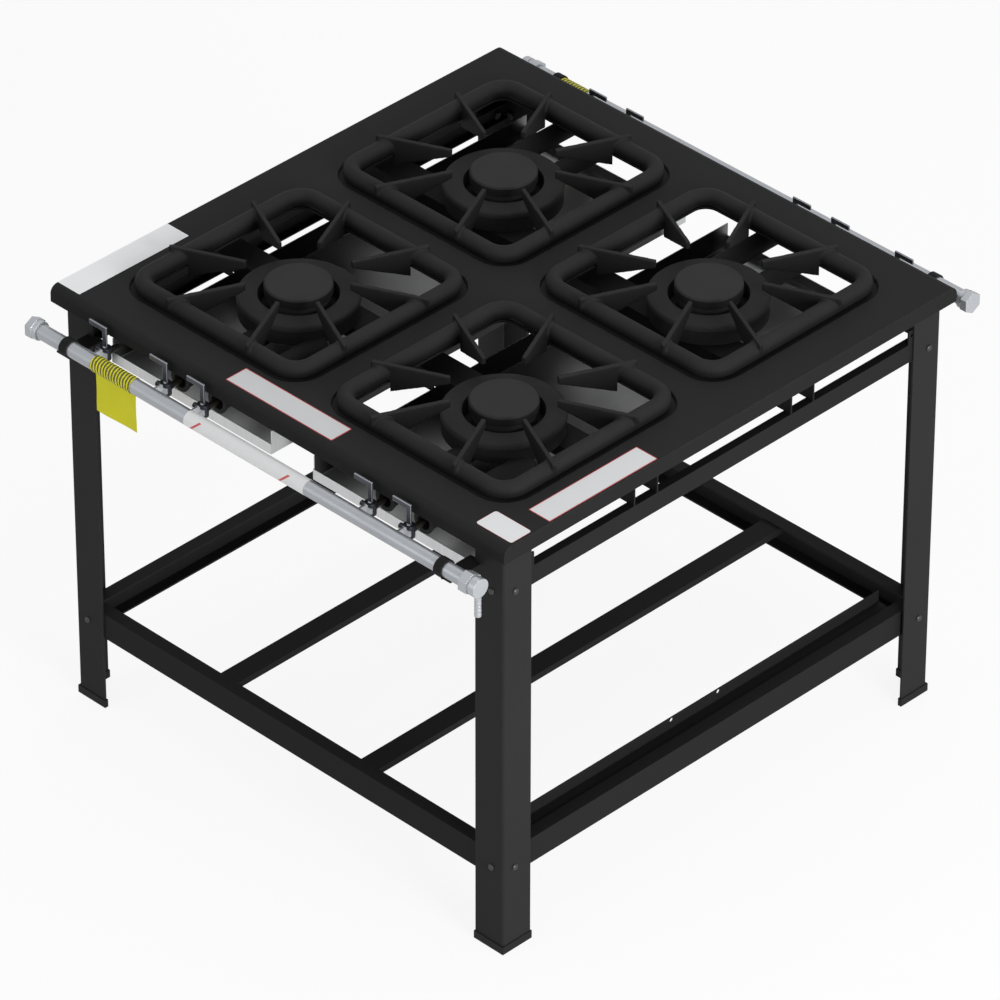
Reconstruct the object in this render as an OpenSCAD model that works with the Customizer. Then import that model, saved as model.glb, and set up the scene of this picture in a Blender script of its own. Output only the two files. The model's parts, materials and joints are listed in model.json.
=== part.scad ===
// Four-burner gas stove stand. An angle-iron frame carries a black top sheet with
// four cast grates. Each burner has a crown ring and a centre cap, fed from two
// pipes with lever cocks, one along the front and one along the back. Two long
// drip trays slide under the burners. Origin: floor level, centre of the plan.
// The back side is the front side turned by half a turn about the upright axis.

/* [Frame] */
// Width across the outer faces of the legs
frame_w = 800; // [780:5:860]
// Depth across the outer faces of the legs
frame_d = 804; // [790:2:860]
// Height of the upper face of the top sheet above the floor
top_z = 653; // [600:1:760]
// Width of each leg flange
leg_flange = 50; // [44:1:56]
// Wall of the leg angles
leg_t = 3; // [2:0.5:4]
// Outside bend radius of the leg angles
leg_bend = 4; // [4:0.5:6]

/* [Foot caps] */
// Height of a foot cap
cap_h = 12; // [8:1:20]
// Wall of a foot cap around the leg
cap_wall = 1.5; // [1:0.25:3]
// Thickness of a foot cap under the leg
cap_base = 2; // [1.5:0.5:4]

/* [Lower frame] */
// Height of the lower edge of the front and back rails
rail_z = 113; // [90:1:180]
// Height of the front and back rails
rail_h = 40; // [30:1:50]
// Width of the rail flanges
rail_flange = 19.5; // [15:0.5:25]
// Sheet of the lower rails
rail_t = 3; // [2:0.5:4]
// Height of the side rails
side_rail_h = 39.5; // [30:0.5:48]
// Depth of the side rails' upper edge below that of the front rail
side_rail_drop = 1; // [0.5:0.5:3]
// Play above and below the side rails' end tongues
tongue_play = 0.2; // [0.1:0.1:0.5]
// Gap between a leg and the side rail that a collar fills
side_rail_gap = 4.5; // [2:0.5:8]
// Width of a shelf bar
shelf_bar_w = 32; // [24:1:50]
// Height of the turned-down sides of a shelf bar
shelf_bar_h = 10; // [6:1:20]
// Distance between the two shelf bars, centre to centre
shelf_bar_pitch = 264; // [200:2:400]
// Sheet of the shelf bars and of the edge strip
shelf_t = 2; // [1.5:0.5:3]
// Width of the flat leg of the edge strip
strip_w = 38; // [34:1:60]
// Height of the upstand of the edge strip
strip_up = 19; // [12:1:30]
// Height of the edge strip's holes above its flat leg
strip_hole_rise = 12.5; // [8:0.5:13]
// Length of the edge strip past the inner edge of the leg flange
strip_past = 1; // [0:0.5:6]
// Diameter of the holes in the edge strip
strip_hole_d = 6; // [4:0.5:6.5]
// Distance between the holes in the edge strip
strip_hole_pitch = 88; // [60:1:200]

/* [Upper side rails] */
// Depth of the lower edge of the upper rails below the top face
upper_drop = 96; // [90:1:120]
// Height of the upper rails
upper_h = 28; // [24:1:32]
// Width of the upper rail flanges
upper_flange = 13; // [10:0.5:18]
// Sheet of the upper rails
upper_t = 2.5; // [2:0.5:3.5]
// Width of the small hanger tabs on the upper rails
rail_tab_w = 12; // [10:1:20]
// Height of the small hanger tabs
rail_tab_h = 21; // [12:1:24]
// Diameter of the hole in a hanger tab
rail_tab_hole_d = 5; // [3:0.5:6]
// Height of that hole above the upper rail
rail_tab_hole_rise = 12.5; // [8:0.5:16]
// Distance from a rail's end to its hanger tab
rail_tab_inset = 46; // [40:1:60]

/* [Top sheet] */
// Overhang of the top sheet past the legs, left and right
over_x = 15; // [10:0.5:30]
// Overhang of the top sheet past the legs, front and back
over_y = 13.5; // [8:0.5:20]
// Height of the turned-down edge
lip_h = 24; // [18:1:34]
// Sheet of the top
sheet_t = 3; // [2:0.5:4]
// Outside radius of the rolled front and back edges
roll_r = 12; // [8:1:16]
// Depth of the recess that a grate sits in
recess_depth = 5; // [3:0.5:8]
// Gap between a grate and the wall of its recess
recess_gap = 5.5; // [3:0.5:8]
// Width of the ledge inside the middle of the grate ring
ledge_in = 8.5; // [5:0.5:11]

/* [Grates] */
// Distance between the grates, left to right
pitch_x = 375; // [370:1:390]
// Distance between the grates, front to back
pitch_y = 376; // [370:1:390]
// Half the width of the grate ring, to the middle of its bar
ring_half = 150.5; // [145:0.5:154]
// Radius of the grate ring's bar
ring_r = 12; // [9:0.5:13]
// Corner radius of the grate ring, to the middle of its bar
ring_corner = 29; // [20:1:45]
// Depth of the flat seat cut under the grate ring
ring_seat = 1; // [0.5:0.25:2]
// Thickness of a grate finger
fin_t = 5; // [4:0.5:7]
// Angle between a grate finger and the nearest axis
fin_angle = 24.6; // [18:0.2:30]
// Radius of the circle through the finger tips
fin_tip_r = 73; // [60:1:80]
// Height of the fingers above the top sheet
fin_rise = 22; // [20:1:30]
// Height of a finger at its tip
fin_tip_h = 10.5; // [8:0.5:14]
// Height of a finger beside the edge of the burner opening
fin_root_h = 41; // [28:0.5:42]
// Gap between a finger and the edge of the burner opening
fin_gap = 1; // [0.5:0.25:3]
// Length of a finger past the middle of the ring's bar
fin_over = 13.5; // [6:0.5:16]

/* [Burners] */
// Radius of the crown ring
crown_r = 81.5; // [70:0.5:86]
// Radius of the hole in the crown ring
crown_hole_r = 53.5; // [50:0.5:58]
// Thickness of the crown ring
crown_t = 8; // [5:0.5:12]
// Depth of the crown ring's upper face below the top face
crown_drop = 10; // [4:0.5:16]
// Radius of the centre cap
cap_r = 45.5; // [40:0.5:48]
// Thickness of the centre cap
burner_cap_t = 14; // [8:0.5:18]
// Height of the centre cap above the crown ring
cap_rise = 17; // [14:0.5:20]
// Wall of the burner casting
burner_wall = 4; // [3:0.5:6]
// Overhang of the crown ring past the burner casting
crown_over = 1.5; // [0.5:0.5:3]
// Overhang of the centre cap past the tower that it sits on
cap_over = 3.5; // [2:0.5:6]
// Depth of the spigot under the centre cap
spigot_h = 5; // [3:0.5:8]
// Play around the spigot of the centre cap
spigot_play = 0.6; // [0.4:0.1:1.5]
// Outside radius of a mixing tube
tube_r = 14; // [12:0.5:15]
// Bore radius of a mixing tube
tube_bore_r = 10.5; // [8:0.5:11.5]
// Radius of the flared mouth of a mixing tube
mouth_r = 17; // [15.5:0.5:19]
// Length of the flared mouth
mouth_len = 10; // [6:1:20]
// Gap between a mixing tube's mouth and the leg line
mouth_inset = 2; // [1:0.5:6]
// Side step from the burner's middle to its outer mixing tube
tube_step = 69; // [64:0.5:72]
// Step from the burner's middle to the inner end of its outer mixing tube
tube_feed = 26; // [20:1:32]

/* [Burner channels] */
// Width of a burner channel
chan_w = 44; // [36:1:50]
// Height of a burner channel where it stands on the upper rails
chan_h = 28.5; // [24:0.5:30]
// Height of its sides over the drip trays
chan_low_h = 18.5; // [10:0.5:20]
// Sheet of the burner channels
chan_t = 2.5; // [2:0.5:3]
// Step from the burner's middle to the channel's middle
chan_step = 44; // [40:1:52]

/* [Drip trays] */
// Width of a drip tray
tray_w = 298; // [280:1:298]
// Length of a drip tray
tray_len = 764; // [700:2:780]
// Height of the long sides of a drip tray
tray_h = 36; // [30:0.5:40]
// Height of the front and back walls of a drip tray
tray_end_h = 16; // [12:0.5:24]
// Sheet of the drip trays
tray_t = 1.5; // [1:0.25:2.5]
// Gap between a tray and the burner channels
tray_gap = 3; // [1:0.5:5]
// Side play between a tray and its hangers
tray_play = 0.4; // [0.3:0.1:1]
// Side play between a tray and the notches of the channels
notch_play = 1; // [0.5:0.5:2]
// Width of a tray hanger
hanger_w = 11; // [8:1:20]
// Thickness of a tray hanger
hanger_t = 2.5; // [2:0.5:4]

/* [Manifold] */
// Distance from the leg line to the middle of the pipe
pipe_out = 48; // [44:1:60]
// Depth of the pipe's middle below the top face
pipe_drop = 45; // [42:1:60]
// Outside radius of the pipe
pipe_r = 10.65; // [8.6:0.05:13.5]
// Bore radius of the pipe
pipe_bore_r = 8; // [5:0.5:8]
// Gap between the legs' outer line and the plugged end of the pipe
pipe_end_out = 13; // [10:1:15]
// Gap between the legs' outer line and the disc end of the inlet fitting
inlet_end_out = 8; // [6:1:14]
// Hexagon size across flats of the end cap and the inlet nut
hex_af = 27; // [26:1:32]
// Length of the end cap
end_cap_len = 18; // [14:1:24]
// Length of the end cap's hexagon
end_hex_len = 11; // [6:0.5:14]
// Thickness of the end cap's closed end
end_wall = 3; // [2:0.5:4]
// Length of the inlet fitting's nut
inlet_nut_len = 14; // [10:1:18]
// Length of the inlet fitting's head
inlet_head_len = 10; // [9.5:0.5:16]
// Length of the groove between nut and head
inlet_neck_len = 3; // [2:0.5:6]
// Wall of the inlet fitting around the pipe at that groove
inlet_neck_wall = 1.5; // [1:0.5:2]
// Radius of the hose nipple
nipple_r = 4.5; // [4:0.25:4.75]
// Depth of the grooves around the hose nipple
groove_d = 0.6; // [0.3:0.1:0.8]
// Width of those grooves
groove_w = 1.8; // [1:0.2:2.4]
// Distance from one groove to the next
groove_pitch = 5.6; // [4.5:0.1:6]
// Bore radius of the hose nipple
nipple_bore_r = 2.5; // [2:0.25:3]
// Distance from the middle of the pipe to the end of the hose nipple
nipple_reach = 44; // [36:1:60]
// Step of the shoulder at the root of the hose nipple
shoulder_step = 0.3; // [0.2:0.05:0.4]
// Depth of that shoulder below the disc head
shoulder_h = 0.6; // [0.5:0.1:2]
// Width of a pipe bracket
bracket_w = 13; // [10:1:14]
// Strap thickness of a pipe bracket
bracket_t = 2.5; // [2:0.5:3]
// Gap between a pipe bracket and the edge of the leg flange
bracket_gap = 0.2; // [0.1:0.1:1]
// Width of the flat plate under the pipe that carries a bracket's ring
bracket_plate_w = 24; // [20:1:28]
// How far that plate reaches out past the middle of the pipe
bracket_lip = 6; // [4:0.5:8]

/* [Gas cocks] */
// Step from the pipe's middle to a cock's spindle
cock_step = 25; // [24:0.5:28]
// Radius of a cock body
cock_r = 8; // [7:0.5:9]
// Height of a cock body above and below the pipe's middle
cock_half_h = 9; // [8:0.5:10]
// Hexagon size across flats at the pipe
cock_hex_af = 14; // [12:1:16]
// Radius of a cock's pipe stub and side screw
stub_r = 4; // [3:0.5:4.5]
// Length of a cock's side screw
screw_len = 8; // [4:1:10]
// Length of the boss that carries the injector, past the cock body
boss_len = 1.5; // [0.5:0.5:3]
// Wall of that boss around the injector
boss_wall = 1; // [0.5:0.25:2]
// Radius of a cock's spindle
spindle_r = 3; // [2.5:0.25:4]
// Radial clearance of a spindle
spindle_play = 0.05; // [0.02:0.01:0.1]
// Length of a spindle inside the cock body
spindle_in = 6; // [4:0.5:8]
// Gap between a lever's plate and the cock body
lever_gap = 0.4; // [0.3:0.1:1]
// Depth of a lever's upper edge below the top face
lever_drop = 5; // [2:0.5:9]
// Width of a lever's stem
lever_w = 8; // [6:0.5:10]
// Thickness of a lever's plate
lever_t = 2.5; // [1.5:0.25:4]
// Length of a lever's arm from its spindle
lever_arm = 28; // [20:1:30]
// Height of a lever's arm
lever_arm_h = 7.5; // [5:0.5:10]
// Length of an injector
jet_len = 18; // [15:0.5:22]
// Radius of an injector's barrel
jet_r = 4.5; // [3.5:0.25:6]
// Radius of an injector's tip
jet_tip_r = 2.5; // [1.5:0.25:3]
// Distance from the legs' outer line to the spare cock
spare_inset = 99; // [95:1:110]

/* [Hang tags] */
// Distance from the spare cock's spindle to the front hang tag
tag_from_spare = 9; // [9:0.5:20]
// Distance from the next cock's spindle to the front hang tag
tag_from_cock = 30.5; // [12:0.5:40]
// Length of the front hang tag's flap below the pipe's middle
tag_drop = 73; // [50:1:90]
// Sheet of the hang tags
tag_t = 0.8; // [0.5:0.1:1.2]
// Distance from the middle of the nearest burners to the near end of the back tag
back_tag_start = 100.5; // [90:0.5:120]
// Gap between the back tag and the pipe bracket beside it
back_tag_gap = 0.3; // [0.1:0.1:2]

/* [Fasteners] */
// Radius of a bolt's shank
bolt_r = 3; // [2:0.25:4]
// Radius of a bolt's head
bolt_head_r = 4.7; // [4.5:0.1:7]
// Height of a bolt's head
bolt_head_h = 3.2; // [2:0.1:5]
// Size across flats of a nut
nut_af = 10; // [9:0.5:12]
// Thickness of a nut
nut_t = 5; // [3:0.5:6]
// Radial clearance of a bolt in its hole
bolt_play = 0.05; // [0.02:0.01:0.2]
// Distance from a leg's outer corner to its bolts
bolt_inset = 21; // [17:0.5:24]
// Height of the lower bolts above the front rail's lower edge
lower_bolt_rise = 17.5; // [12:0.5:24]
// Depth of the upper bolts below the top face
upper_bolt_drop = 88; // [84:1:90]

/* [Hidden] */
eps = 0.5;
$fn = 64;
leg_x = frame_w / 2;
leg_y = frame_d / 2;
leg_in_x = leg_x - leg_t;
leg_in_y = leg_y - leg_t;
sheet_z = top_z - sheet_t;
top_x = leg_x + over_x;
top_y = leg_y + over_y;
lip_z = top_z - lip_h;
recess_z = top_z - recess_depth;
ring_out = ring_half + ring_r;
ring_in = ring_half - ring_r;
ring_cz = recess_z + ring_r - ring_seat;
recess_half = ring_out + recess_gap;
recess_corner = ring_corner + ring_r + recess_gap;
hole_half = ring_half - ledge_in;
hole_corner = ring_corner - ledge_in;
fin_top = top_z + fin_rise;
fin_out_r = (ring_half + fin_over) / cos(fin_angle);
fin_mid_r = ring_half / cos(fin_angle);
fin_root_r = (hole_half - fin_gap) / cos(fin_angle) - fin_t / 2 * tan(fin_angle);
rail_end_x = leg_in_x - leg_bend + leg_t;
rail_web_y = leg_in_y - rail_t;
side_x = leg_in_x - side_rail_gap;
side_z = rail_z + rail_h - side_rail_h - side_rail_drop;
bolt_low_z = rail_z + lower_bolt_rise;
bolt_high_z = top_z - upper_bolt_drop;
upper_z = top_z - upper_drop;
upper_top = upper_z + upper_h;
bracket_foot_y = leg_in_y - bracket_t;
chan_top = upper_top + chan_h;
chan_low = chan_top - chan_low_h;
chan_y = pitch_y / 2 - chan_step;
crown_z = top_z - crown_drop;
rim_z = crown_z - crown_t;
bowl_r = crown_r - crown_over;
cap_top = crown_z + cap_rise;
tower_z = cap_top - burner_cap_t;
tower_r = cap_r - cap_over;
channel_in_r = crown_hole_r + burner_wall;
pipe_y = leg_y + pipe_out;
pipe_z = top_z - pipe_drop;
mouth_y = leg_y - mouth_inset;
tray_z = chan_low - tray_gap - tray_h;
pipe_x0 = -leg_x - pipe_end_out;
pipe_x1 = leg_x + inlet_end_out;
head_x0 = pipe_x1 - inlet_head_len;
neck_x0 = head_x0 - inlet_neck_len;
nut_x0 = neck_x0 - inlet_nut_len;
nipple_x = pipe_x1 - inlet_head_len / 2;
bracket_x = leg_x - leg_flange - bracket_gap - bracket_w / 2;
bracket_ring_r = pipe_r + bracket_t;
cock_y = pipe_y - cock_step;
cock_z0 = pipe_z - cock_half_h;
cock_z1 = pipe_z + cock_half_h;
spare_x = leg_x - spare_inset;
tag_x0 = -spare_x + tag_from_spare;
tag_x1 = -pitch_x / 2 - tag_from_cock;
cock_xs = [-spare_x, -pitch_x / 2, -pitch_x / 2 + tube_step, pitch_x / 2,
           pitch_x / 2 + tube_step];
boss_reach = cock_r + boss_len;
lever_top = top_z - lever_drop;
shelf_z = rail_z + rail_h - rail_t;
strip_y = leg_y - leg_flange + strip_past;
strip_top = side_z + side_rail_h - rail_t;

// Turns what is drawn for the front side to the back side.
module to_back() {
    rotate([0, 0, 180])
        children();
}

// Draws its children once for each corner of the frame.
module at_corners() {
    for (mx = [0, 1], my = [0, 1])
        mirror([mx, 0, 0])
            mirror([0, my, 0])
                children();
}

// Rounded square about the origin, from its half width and corner radius.
module rounded_square(half, r) {
    square([2 * half, 2 * (half - r)], center = true);
    square([2 * (half - r), 2 * half], center = true);
    for (sx = [-1, 1], sy = [-1, 1])
        translate([sx * (half - r), sy * (half - r)])
            circle(r);
}

// Section of a leg: an angle with its outer corner at the origin.
module leg_section() {
    intersection() {
        translate([leg_bend, leg_bend])
            circle(leg_bend);
        square(leg_bend);
    }
    translate([leg_bend, 0])
        square([leg_flange - leg_bend, leg_t]);
    translate([0, leg_bend])
        square([leg_t, leg_flange - leg_bend]);
}

// Channel section: web on the outer side at x = 0, flanges towards +X.
module channel_section(h, flange, t) {
    square([t, h]);
    square([flange, t]);
    translate([0, h - t])
        square([flange, t]);
}

// Round bolt hole along X through the origin.
module hole_x(r, len) {
    rotate([0, 90, 0])
        cylinder(r = r, h = len, center = true);
}

// Round bolt hole along Y through the origin.
module hole_y(r, len) {
    rotate([90, 0, 0])
        cylinder(r = r, h = len, center = true);
}

// One leg at the front left corner, with its four bolt holes.
module leg() {
    color("#2c2c2c")
        difference() {
            translate([-leg_x, -leg_y, cap_base])
                linear_extrude(sheet_z - cap_base)
                    leg_section();
            for (z = [bolt_low_z, bolt_high_z]) {
                translate([-leg_x + bolt_inset, -leg_y, z])
                    hole_y(bolt_r + bolt_play, 4 * leg_t);
                translate([-leg_x, -leg_y + bolt_inset, z])
                    hole_x(bolt_r + bolt_play, 4 * leg_t);
            }
        }
}

// Foot cap at the front left corner, open at the top around the leg.
module foot_cap() {
    side = leg_flange + 2 * cap_wall;
    thick = leg_t + 2 * cap_wall;
    translate([-leg_x - cap_wall, -leg_y - cap_wall, 0])
        difference() {
            linear_extrude(cap_h) {
                square([side, thick]);
                square([thick, side]);
            }
            translate([cap_wall, cap_wall, cap_base])
                linear_extrude(cap_h)
                    leg_section();
        }
}

module foot_caps() {
    color("#191919")
        at_corners()
            foot_cap();
}

// Front rail: a channel that opens to the back, with a bolt hole at each end.
module lower_rail_front() {
    color("#2c2c2c")
        difference() {
            translate([rail_end_x, -leg_in_y, rail_z])
                rotate([90, 0, -90])
                    linear_extrude(2 * rail_end_x)
                        mirror([1, 0])
                            channel_section(rail_h, rail_flange, rail_t);
            for (s = [-1, 1])
                translate([s * (leg_x - bolt_inset), -leg_in_y, bolt_low_z])
                    hole_y(bolt_r + bolt_play, 4 * rail_t);
        }
}

// Left side rail: a channel whose web reaches into the front and back rails.
module lower_rail_left() {
    body_len = 2 * (leg_in_y - rail_flange);
    tongue_z = rail_z + rail_t + tongue_play;
    tongue_h = rail_h - 2 * (rail_t + tongue_play);
    color("#2c2c2c")
        difference() {
            union() {
                translate([-side_x, body_len / 2, side_z])
                    rotate([90, 0, 0])
                        linear_extrude(body_len)
                            channel_section(side_rail_h, rail_flange, rail_t);
                translate([-side_x, -rail_web_y, tongue_z])
                    cube([rail_t, 2 * rail_web_y, tongue_h]);
            }
            for (s = [-1, 1])
                translate([-side_x, s * (leg_y - bolt_inset), bolt_low_z])
                    hole_x(bolt_r + bolt_play, 4 * rail_t);
        }
}

// Left upper rail with its hanger tabs.
module upper_rail_left() {
    rail_y = bracket_foot_y;
    color("#2b2b2b")
        difference() {
            union() {
                translate([-leg_in_x, rail_y, upper_z])
                    rotate([90, 0, 0])
                        linear_extrude(2 * rail_y)
                            channel_section(upper_h, upper_flange, upper_t);
                for (s = [-1, 1])
                    translate([-leg_in_x,
                               s * (rail_y - rail_tab_inset) - rail_tab_w / 2,
                               upper_top - upper_t])
                        cube([upper_t, rail_tab_w, rail_tab_h + upper_t]);
            }
            for (s = [-1, 1]) {
                translate([-leg_in_x, s * (leg_y - bolt_inset), bolt_high_z])
                    hole_x(bolt_r + bolt_play, 4 * upper_t);
                translate([-leg_in_x, s * (rail_y - rail_tab_inset),
                           upper_top + rail_tab_hole_rise])
                    hole_x(rail_tab_hole_d / 2, 4 * upper_t);
            }
        }
}

// Shelf bar: an inverted tray that lies under the upper flanges of the rails.
module shelf_bar(x) {
    color("#2a2a2a")
        translate([x, rail_web_y, shelf_z])
            rotate([90, 0, 0])
                linear_extrude(2 * rail_web_y)
                    difference() {
                        translate([-shelf_bar_w / 2, -shelf_bar_h])
                            square([shelf_bar_w, shelf_bar_h]);
                        translate([-shelf_bar_w / 2 + shelf_t, -shelf_bar_h - eps])
                            square([shelf_bar_w - 2 * shelf_t,
                                    shelf_bar_h + eps - shelf_t]);
                    }
}

// Edge strip: an angle under the right rail's upper flange, upstand inside.
module shelf_edge_strip() {
    x1 = side_x - rail_t - eps;
    color("#2a2a2a")
        difference() {
            translate([x1 - strip_w, strip_y, strip_top - shelf_t])
                rotate([90, 0, 0])
                    linear_extrude(2 * strip_y) {
                        square([strip_w, shelf_t]);
                        square([shelf_t, strip_up]);
                    }
            for (s = [-1, 1])
                translate([x1 - strip_w, s * strip_hole_pitch / 2,
                           strip_top + strip_hole_rise])
                    hole_x(strip_hole_d / 2, 4 * shelf_t);
        }
}

// Outline of the top sheet seen from the left, filled: width along Y.
module top_profile() {
    translate([-top_y, lip_z])
        square([2 * top_y, lip_h - roll_r]);
    translate([-top_y + roll_r, lip_z])
        square([2 * (top_y - roll_r), lip_h]);
    for (s = [-1, 1])
        translate([s * (top_y - roll_r), top_z - roll_r])
            circle(roll_r);
}

module top_sheet() {
    color("#2d2d2d")
        difference() {
            union() {
                difference() {
                    rotate([90, 0, 90])
                        linear_extrude(2 * top_x, center = true)
                            top_profile();
                    translate([0, 0, -sheet_t])
                        rotate([90, 0, 90])
                            linear_extrude(2 * (top_x - sheet_t), center = true)
                                top_profile_inner();
                }
                at_grates()
                    translate([0, 0, recess_z - sheet_t])
                        linear_extrude(recess_depth + sheet_t / 2)
                            rounded_square(recess_half + sheet_t,
                                           recess_corner + sheet_t);
            }
            at_grates() {
                translate([0, 0, recess_z])
                    linear_extrude(recess_depth + eps)
                        rounded_square(recess_half, recess_corner);
                translate([0, 0, recess_z - sheet_t - eps])
                    linear_extrude(recess_depth)
                        rounded_square(hole_half, hole_corner);
            }
        }
}

// Inside of the top sheet's section, drawn one sheet thickness too high.
module top_profile_inner() {
    r = roll_r - sheet_t;
    half = top_y - sheet_t;
    low = lip_z - eps;
    translate([-half, low])
        square([2 * half, top_z - low - r]);
    translate([-half + r, low])
        square([2 * (half - r), top_z - low]);
    for (s = [-1, 1])
        translate([s * (half - r), top_z - r])
            circle(r);
}

// Draws its children at the middle of each grate.
module at_grates() {
    for (sx = [-1, 1], sy = [-1, 1])
        translate([sx * pitch_x / 2, sy * pitch_y / 2, 0])
            children();
}

// Ring of a grate: four straight bars and four bent corners.
module grate_ring() {
    straight = 2 * (ring_half - ring_corner);
    for (a = [0:90:270])
        rotate([0, 0, a]) {
            translate([ring_half, 0, 0])
                rotate([90, 0, 0])
                    cylinder(r = ring_r, h = straight, center = true);
            translate([ring_half - ring_corner, ring_half - ring_corner, 0])
                rotate_extrude(angle = 90)
                    translate([ring_corner, 0])
                        circle(ring_r);
        }
}

// One finger of a grate along +X, from its tip to just past the ring. Its root
// reaches down into the burner opening and keeps the grate in place.
module grate_finger() {
    translate([0, fin_t / 2, 0])
        rotate([90, 0, 0])
            linear_extrude(fin_t)
                polygon([[fin_tip_r, fin_top - fin_tip_h],
                         [fin_root_r, fin_top - fin_root_h],
                         [fin_root_r, ring_cz - ring_r / 2],
                         [fin_mid_r, ring_cz - ring_r / 2],
                         [fin_out_r, ring_cz],
                         [fin_out_r, fin_top],
                         [fin_tip_r, fin_top]]);
}

module grate(sx, sy) {
    color("#303030")
        translate([sx * pitch_x / 2, sy * pitch_y / 2, 0]) {
            difference() {
                translate([0, 0, ring_cz])
                    grate_ring();
                translate([0, 0, recess_z - ring_r])
                    cube([3 * ring_half, 3 * ring_half, 2 * ring_r], center = true);
            }
            for (a = [0:90:270], s = [-1, 1])
                rotate([0, 0, a + s * fin_angle])
                    grate_finger();
        }
}

// Mixing tube along -Y, from its inner end at y = y1 to its mouth.
module mixing_tube(y0, y1) {
    translate([0, y1, pipe_z])
        rotate([90, 0, 0])
            cylinder(r = tube_r, h = y1 - y0);
    translate([0, y0 + mouth_len, pipe_z])
        rotate([90, 0, 0])
            cylinder(r1 = tube_r, r2 = mouth_r, h = mouth_len);
}

// Burner casting of a front burner: bowl, centre tower and two mixing tubes.
module burner(sx) {
    y0 = -mouth_y + pitch_y / 2;
    floor_z = chan_top + burner_wall;
    color("#2f2f2f")
        translate([sx * pitch_x / 2, -pitch_y / 2, 0])
            difference() {
                union() {
                    translate([0, 0, chan_top])
                        cylinder(r = bowl_r, h = rim_z - chan_top);
                    translate([0, 0, chan_top])
                        cylinder(r = tower_r, h = tower_z - chan_top);
                    mixing_tube(y0, 0);
                    translate([0, 0, pipe_z - tube_r])
                        cylinder(r = tube_r, h = 2 * tube_r);
                    translate([tube_step, 0, 0])
                        mixing_tube(y0, -tube_feed);
                }
                translate([0, 0, floor_z + tube_r + burner_wall])
                    cylinder(r = tower_r - burner_wall, h = tower_z);
                difference() {
                    translate([0, 0, floor_z])
                        cylinder(r = bowl_r - burner_wall, h = tower_z);
                    translate([0, 0, floor_z - eps])
                        cylinder(r = channel_in_r, h = tower_z);
                    mixing_tube(y0, 0);
                }
                difference() {
                    translate([0, 0, floor_z])
                        cylinder(r = crown_hole_r, h = tower_z);
                    translate([0, 0, floor_z - eps])
                        cylinder(r = tower_r, h = tower_z);
                    mixing_tube(y0, 0);
                }
                translate([0, 0, pipe_z])
                    cylinder(r = tube_bore_r, h = tower_z);
                translate([0, eps, pipe_z])
                    rotate([90, 0, 0])
                        cylinder(r = tube_bore_r, h = mouth_y);
                translate([tube_step, -tube_feed - burner_wall, pipe_z])
                    rotate([90, 0, 0])
                        cylinder(r = tube_bore_r, h = mouth_y);
            }
}

// Crown ring of a burner: a flat annulus with a rounded upper outer edge.
module crown(sx, sy) {
    edge = crown_t / 4;
    color("#343434")
        translate([sx * pitch_x / 2, sy * pitch_y / 2, rim_z])
            difference() {
                union() {
                    cylinder(r = crown_r, h = crown_t - edge);
                    translate([0, 0, crown_t - edge])
                        cylinder(r1 = crown_r, r2 = crown_r - edge, h = edge);
                }
                translate([0, 0, -eps])
                    cylinder(r = crown_hole_r, h = crown_t + 2 * eps);
            }
}

// Centre cap of a burner, with the spigot that drops into the tower.
module burner_cap(sx, sy) {
    edge = burner_cap_t / 6;
    color("#363636")
        translate([sx * pitch_x / 2, sy * pitch_y / 2, tower_z]) {
            cylinder(r = cap_r, h = burner_cap_t - edge);
            translate([0, 0, burner_cap_t - edge])
                cylinder(r1 = cap_r, r2 = cap_r - edge, h = edge);
            translate([0, 0, -spigot_h])
                cylinder(r = tower_r - burner_wall - spigot_play, h = spigot_h);
        }
}

// Burner channel at y: open below, with two notches that the trays pass through.
module burner_channel(y) {
    color("#242424")
        difference() {
            translate([-leg_in_x, y - chan_w / 2, upper_top])
                cube([2 * leg_in_x, chan_w, chan_h]);
            translate([-leg_in_x - eps, y - chan_w / 2 + chan_t, upper_top - eps])
                cube([2 * (leg_in_x + eps), chan_w - 2 * chan_t,
                      chan_h + eps - chan_t]);
            for (s = [-1, 1])
                translate([s * pitch_x / 2 - tray_w / 2 - notch_play,
                           y - chan_w, upper_top - eps])
                    cube([tray_w + 2 * notch_play, 2 * chan_w,
                          chan_low - upper_top + eps]);
        }
}

// Hanger: a strap that goes down from a channel, under a tray and up again.
module tray_hanger(sx, y) {
    half = tray_w / 2 + tray_play;
    low = tray_z - hanger_t;
    translate([sx * pitch_x / 2, y - hanger_w / 2, 0]) {
        translate([-half - hanger_t, 0, low])
            cube([2 * (half + hanger_t), hanger_w, hanger_t]);
        for (s = [-1, 1])
            translate([s > 0 ? half : -half - hanger_t, 0, low])
                cube([hanger_t, hanger_w, chan_top - chan_t - low]);
    }
}

module tray_hangers() {
    color("#262626")
        for (sx = [-1, 1], sy = [-1, 1])
            tray_hanger(sx, sy * chan_y);
}

// Drip tray: high long sides, lower front and back walls.
module drip_tray(sx) {
    inner_w = tray_w - 2 * tray_t;
    inner_len = tray_len - 2 * tray_t;
    color("#c9cacb")
        translate([sx * pitch_x / 2, 0, tray_z])
            difference() {
                translate([-tray_w / 2, -tray_len / 2, 0])
                    cube([tray_w, tray_len, tray_h]);
                translate([-inner_w / 2, -inner_len / 2, tray_t])
                    cube([inner_w, inner_len, tray_h]);
                translate([-tray_w / 2 - eps, -tray_len / 2 - eps, tray_end_h])
                    cube([tray_w + 2 * eps, tray_t + eps, tray_h]);
                translate([-tray_w / 2 - eps, tray_len / 2 - tray_t, tray_end_h])
                    cube([tray_w + 2 * eps, tray_t + eps, tray_h]);
            }
}

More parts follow.
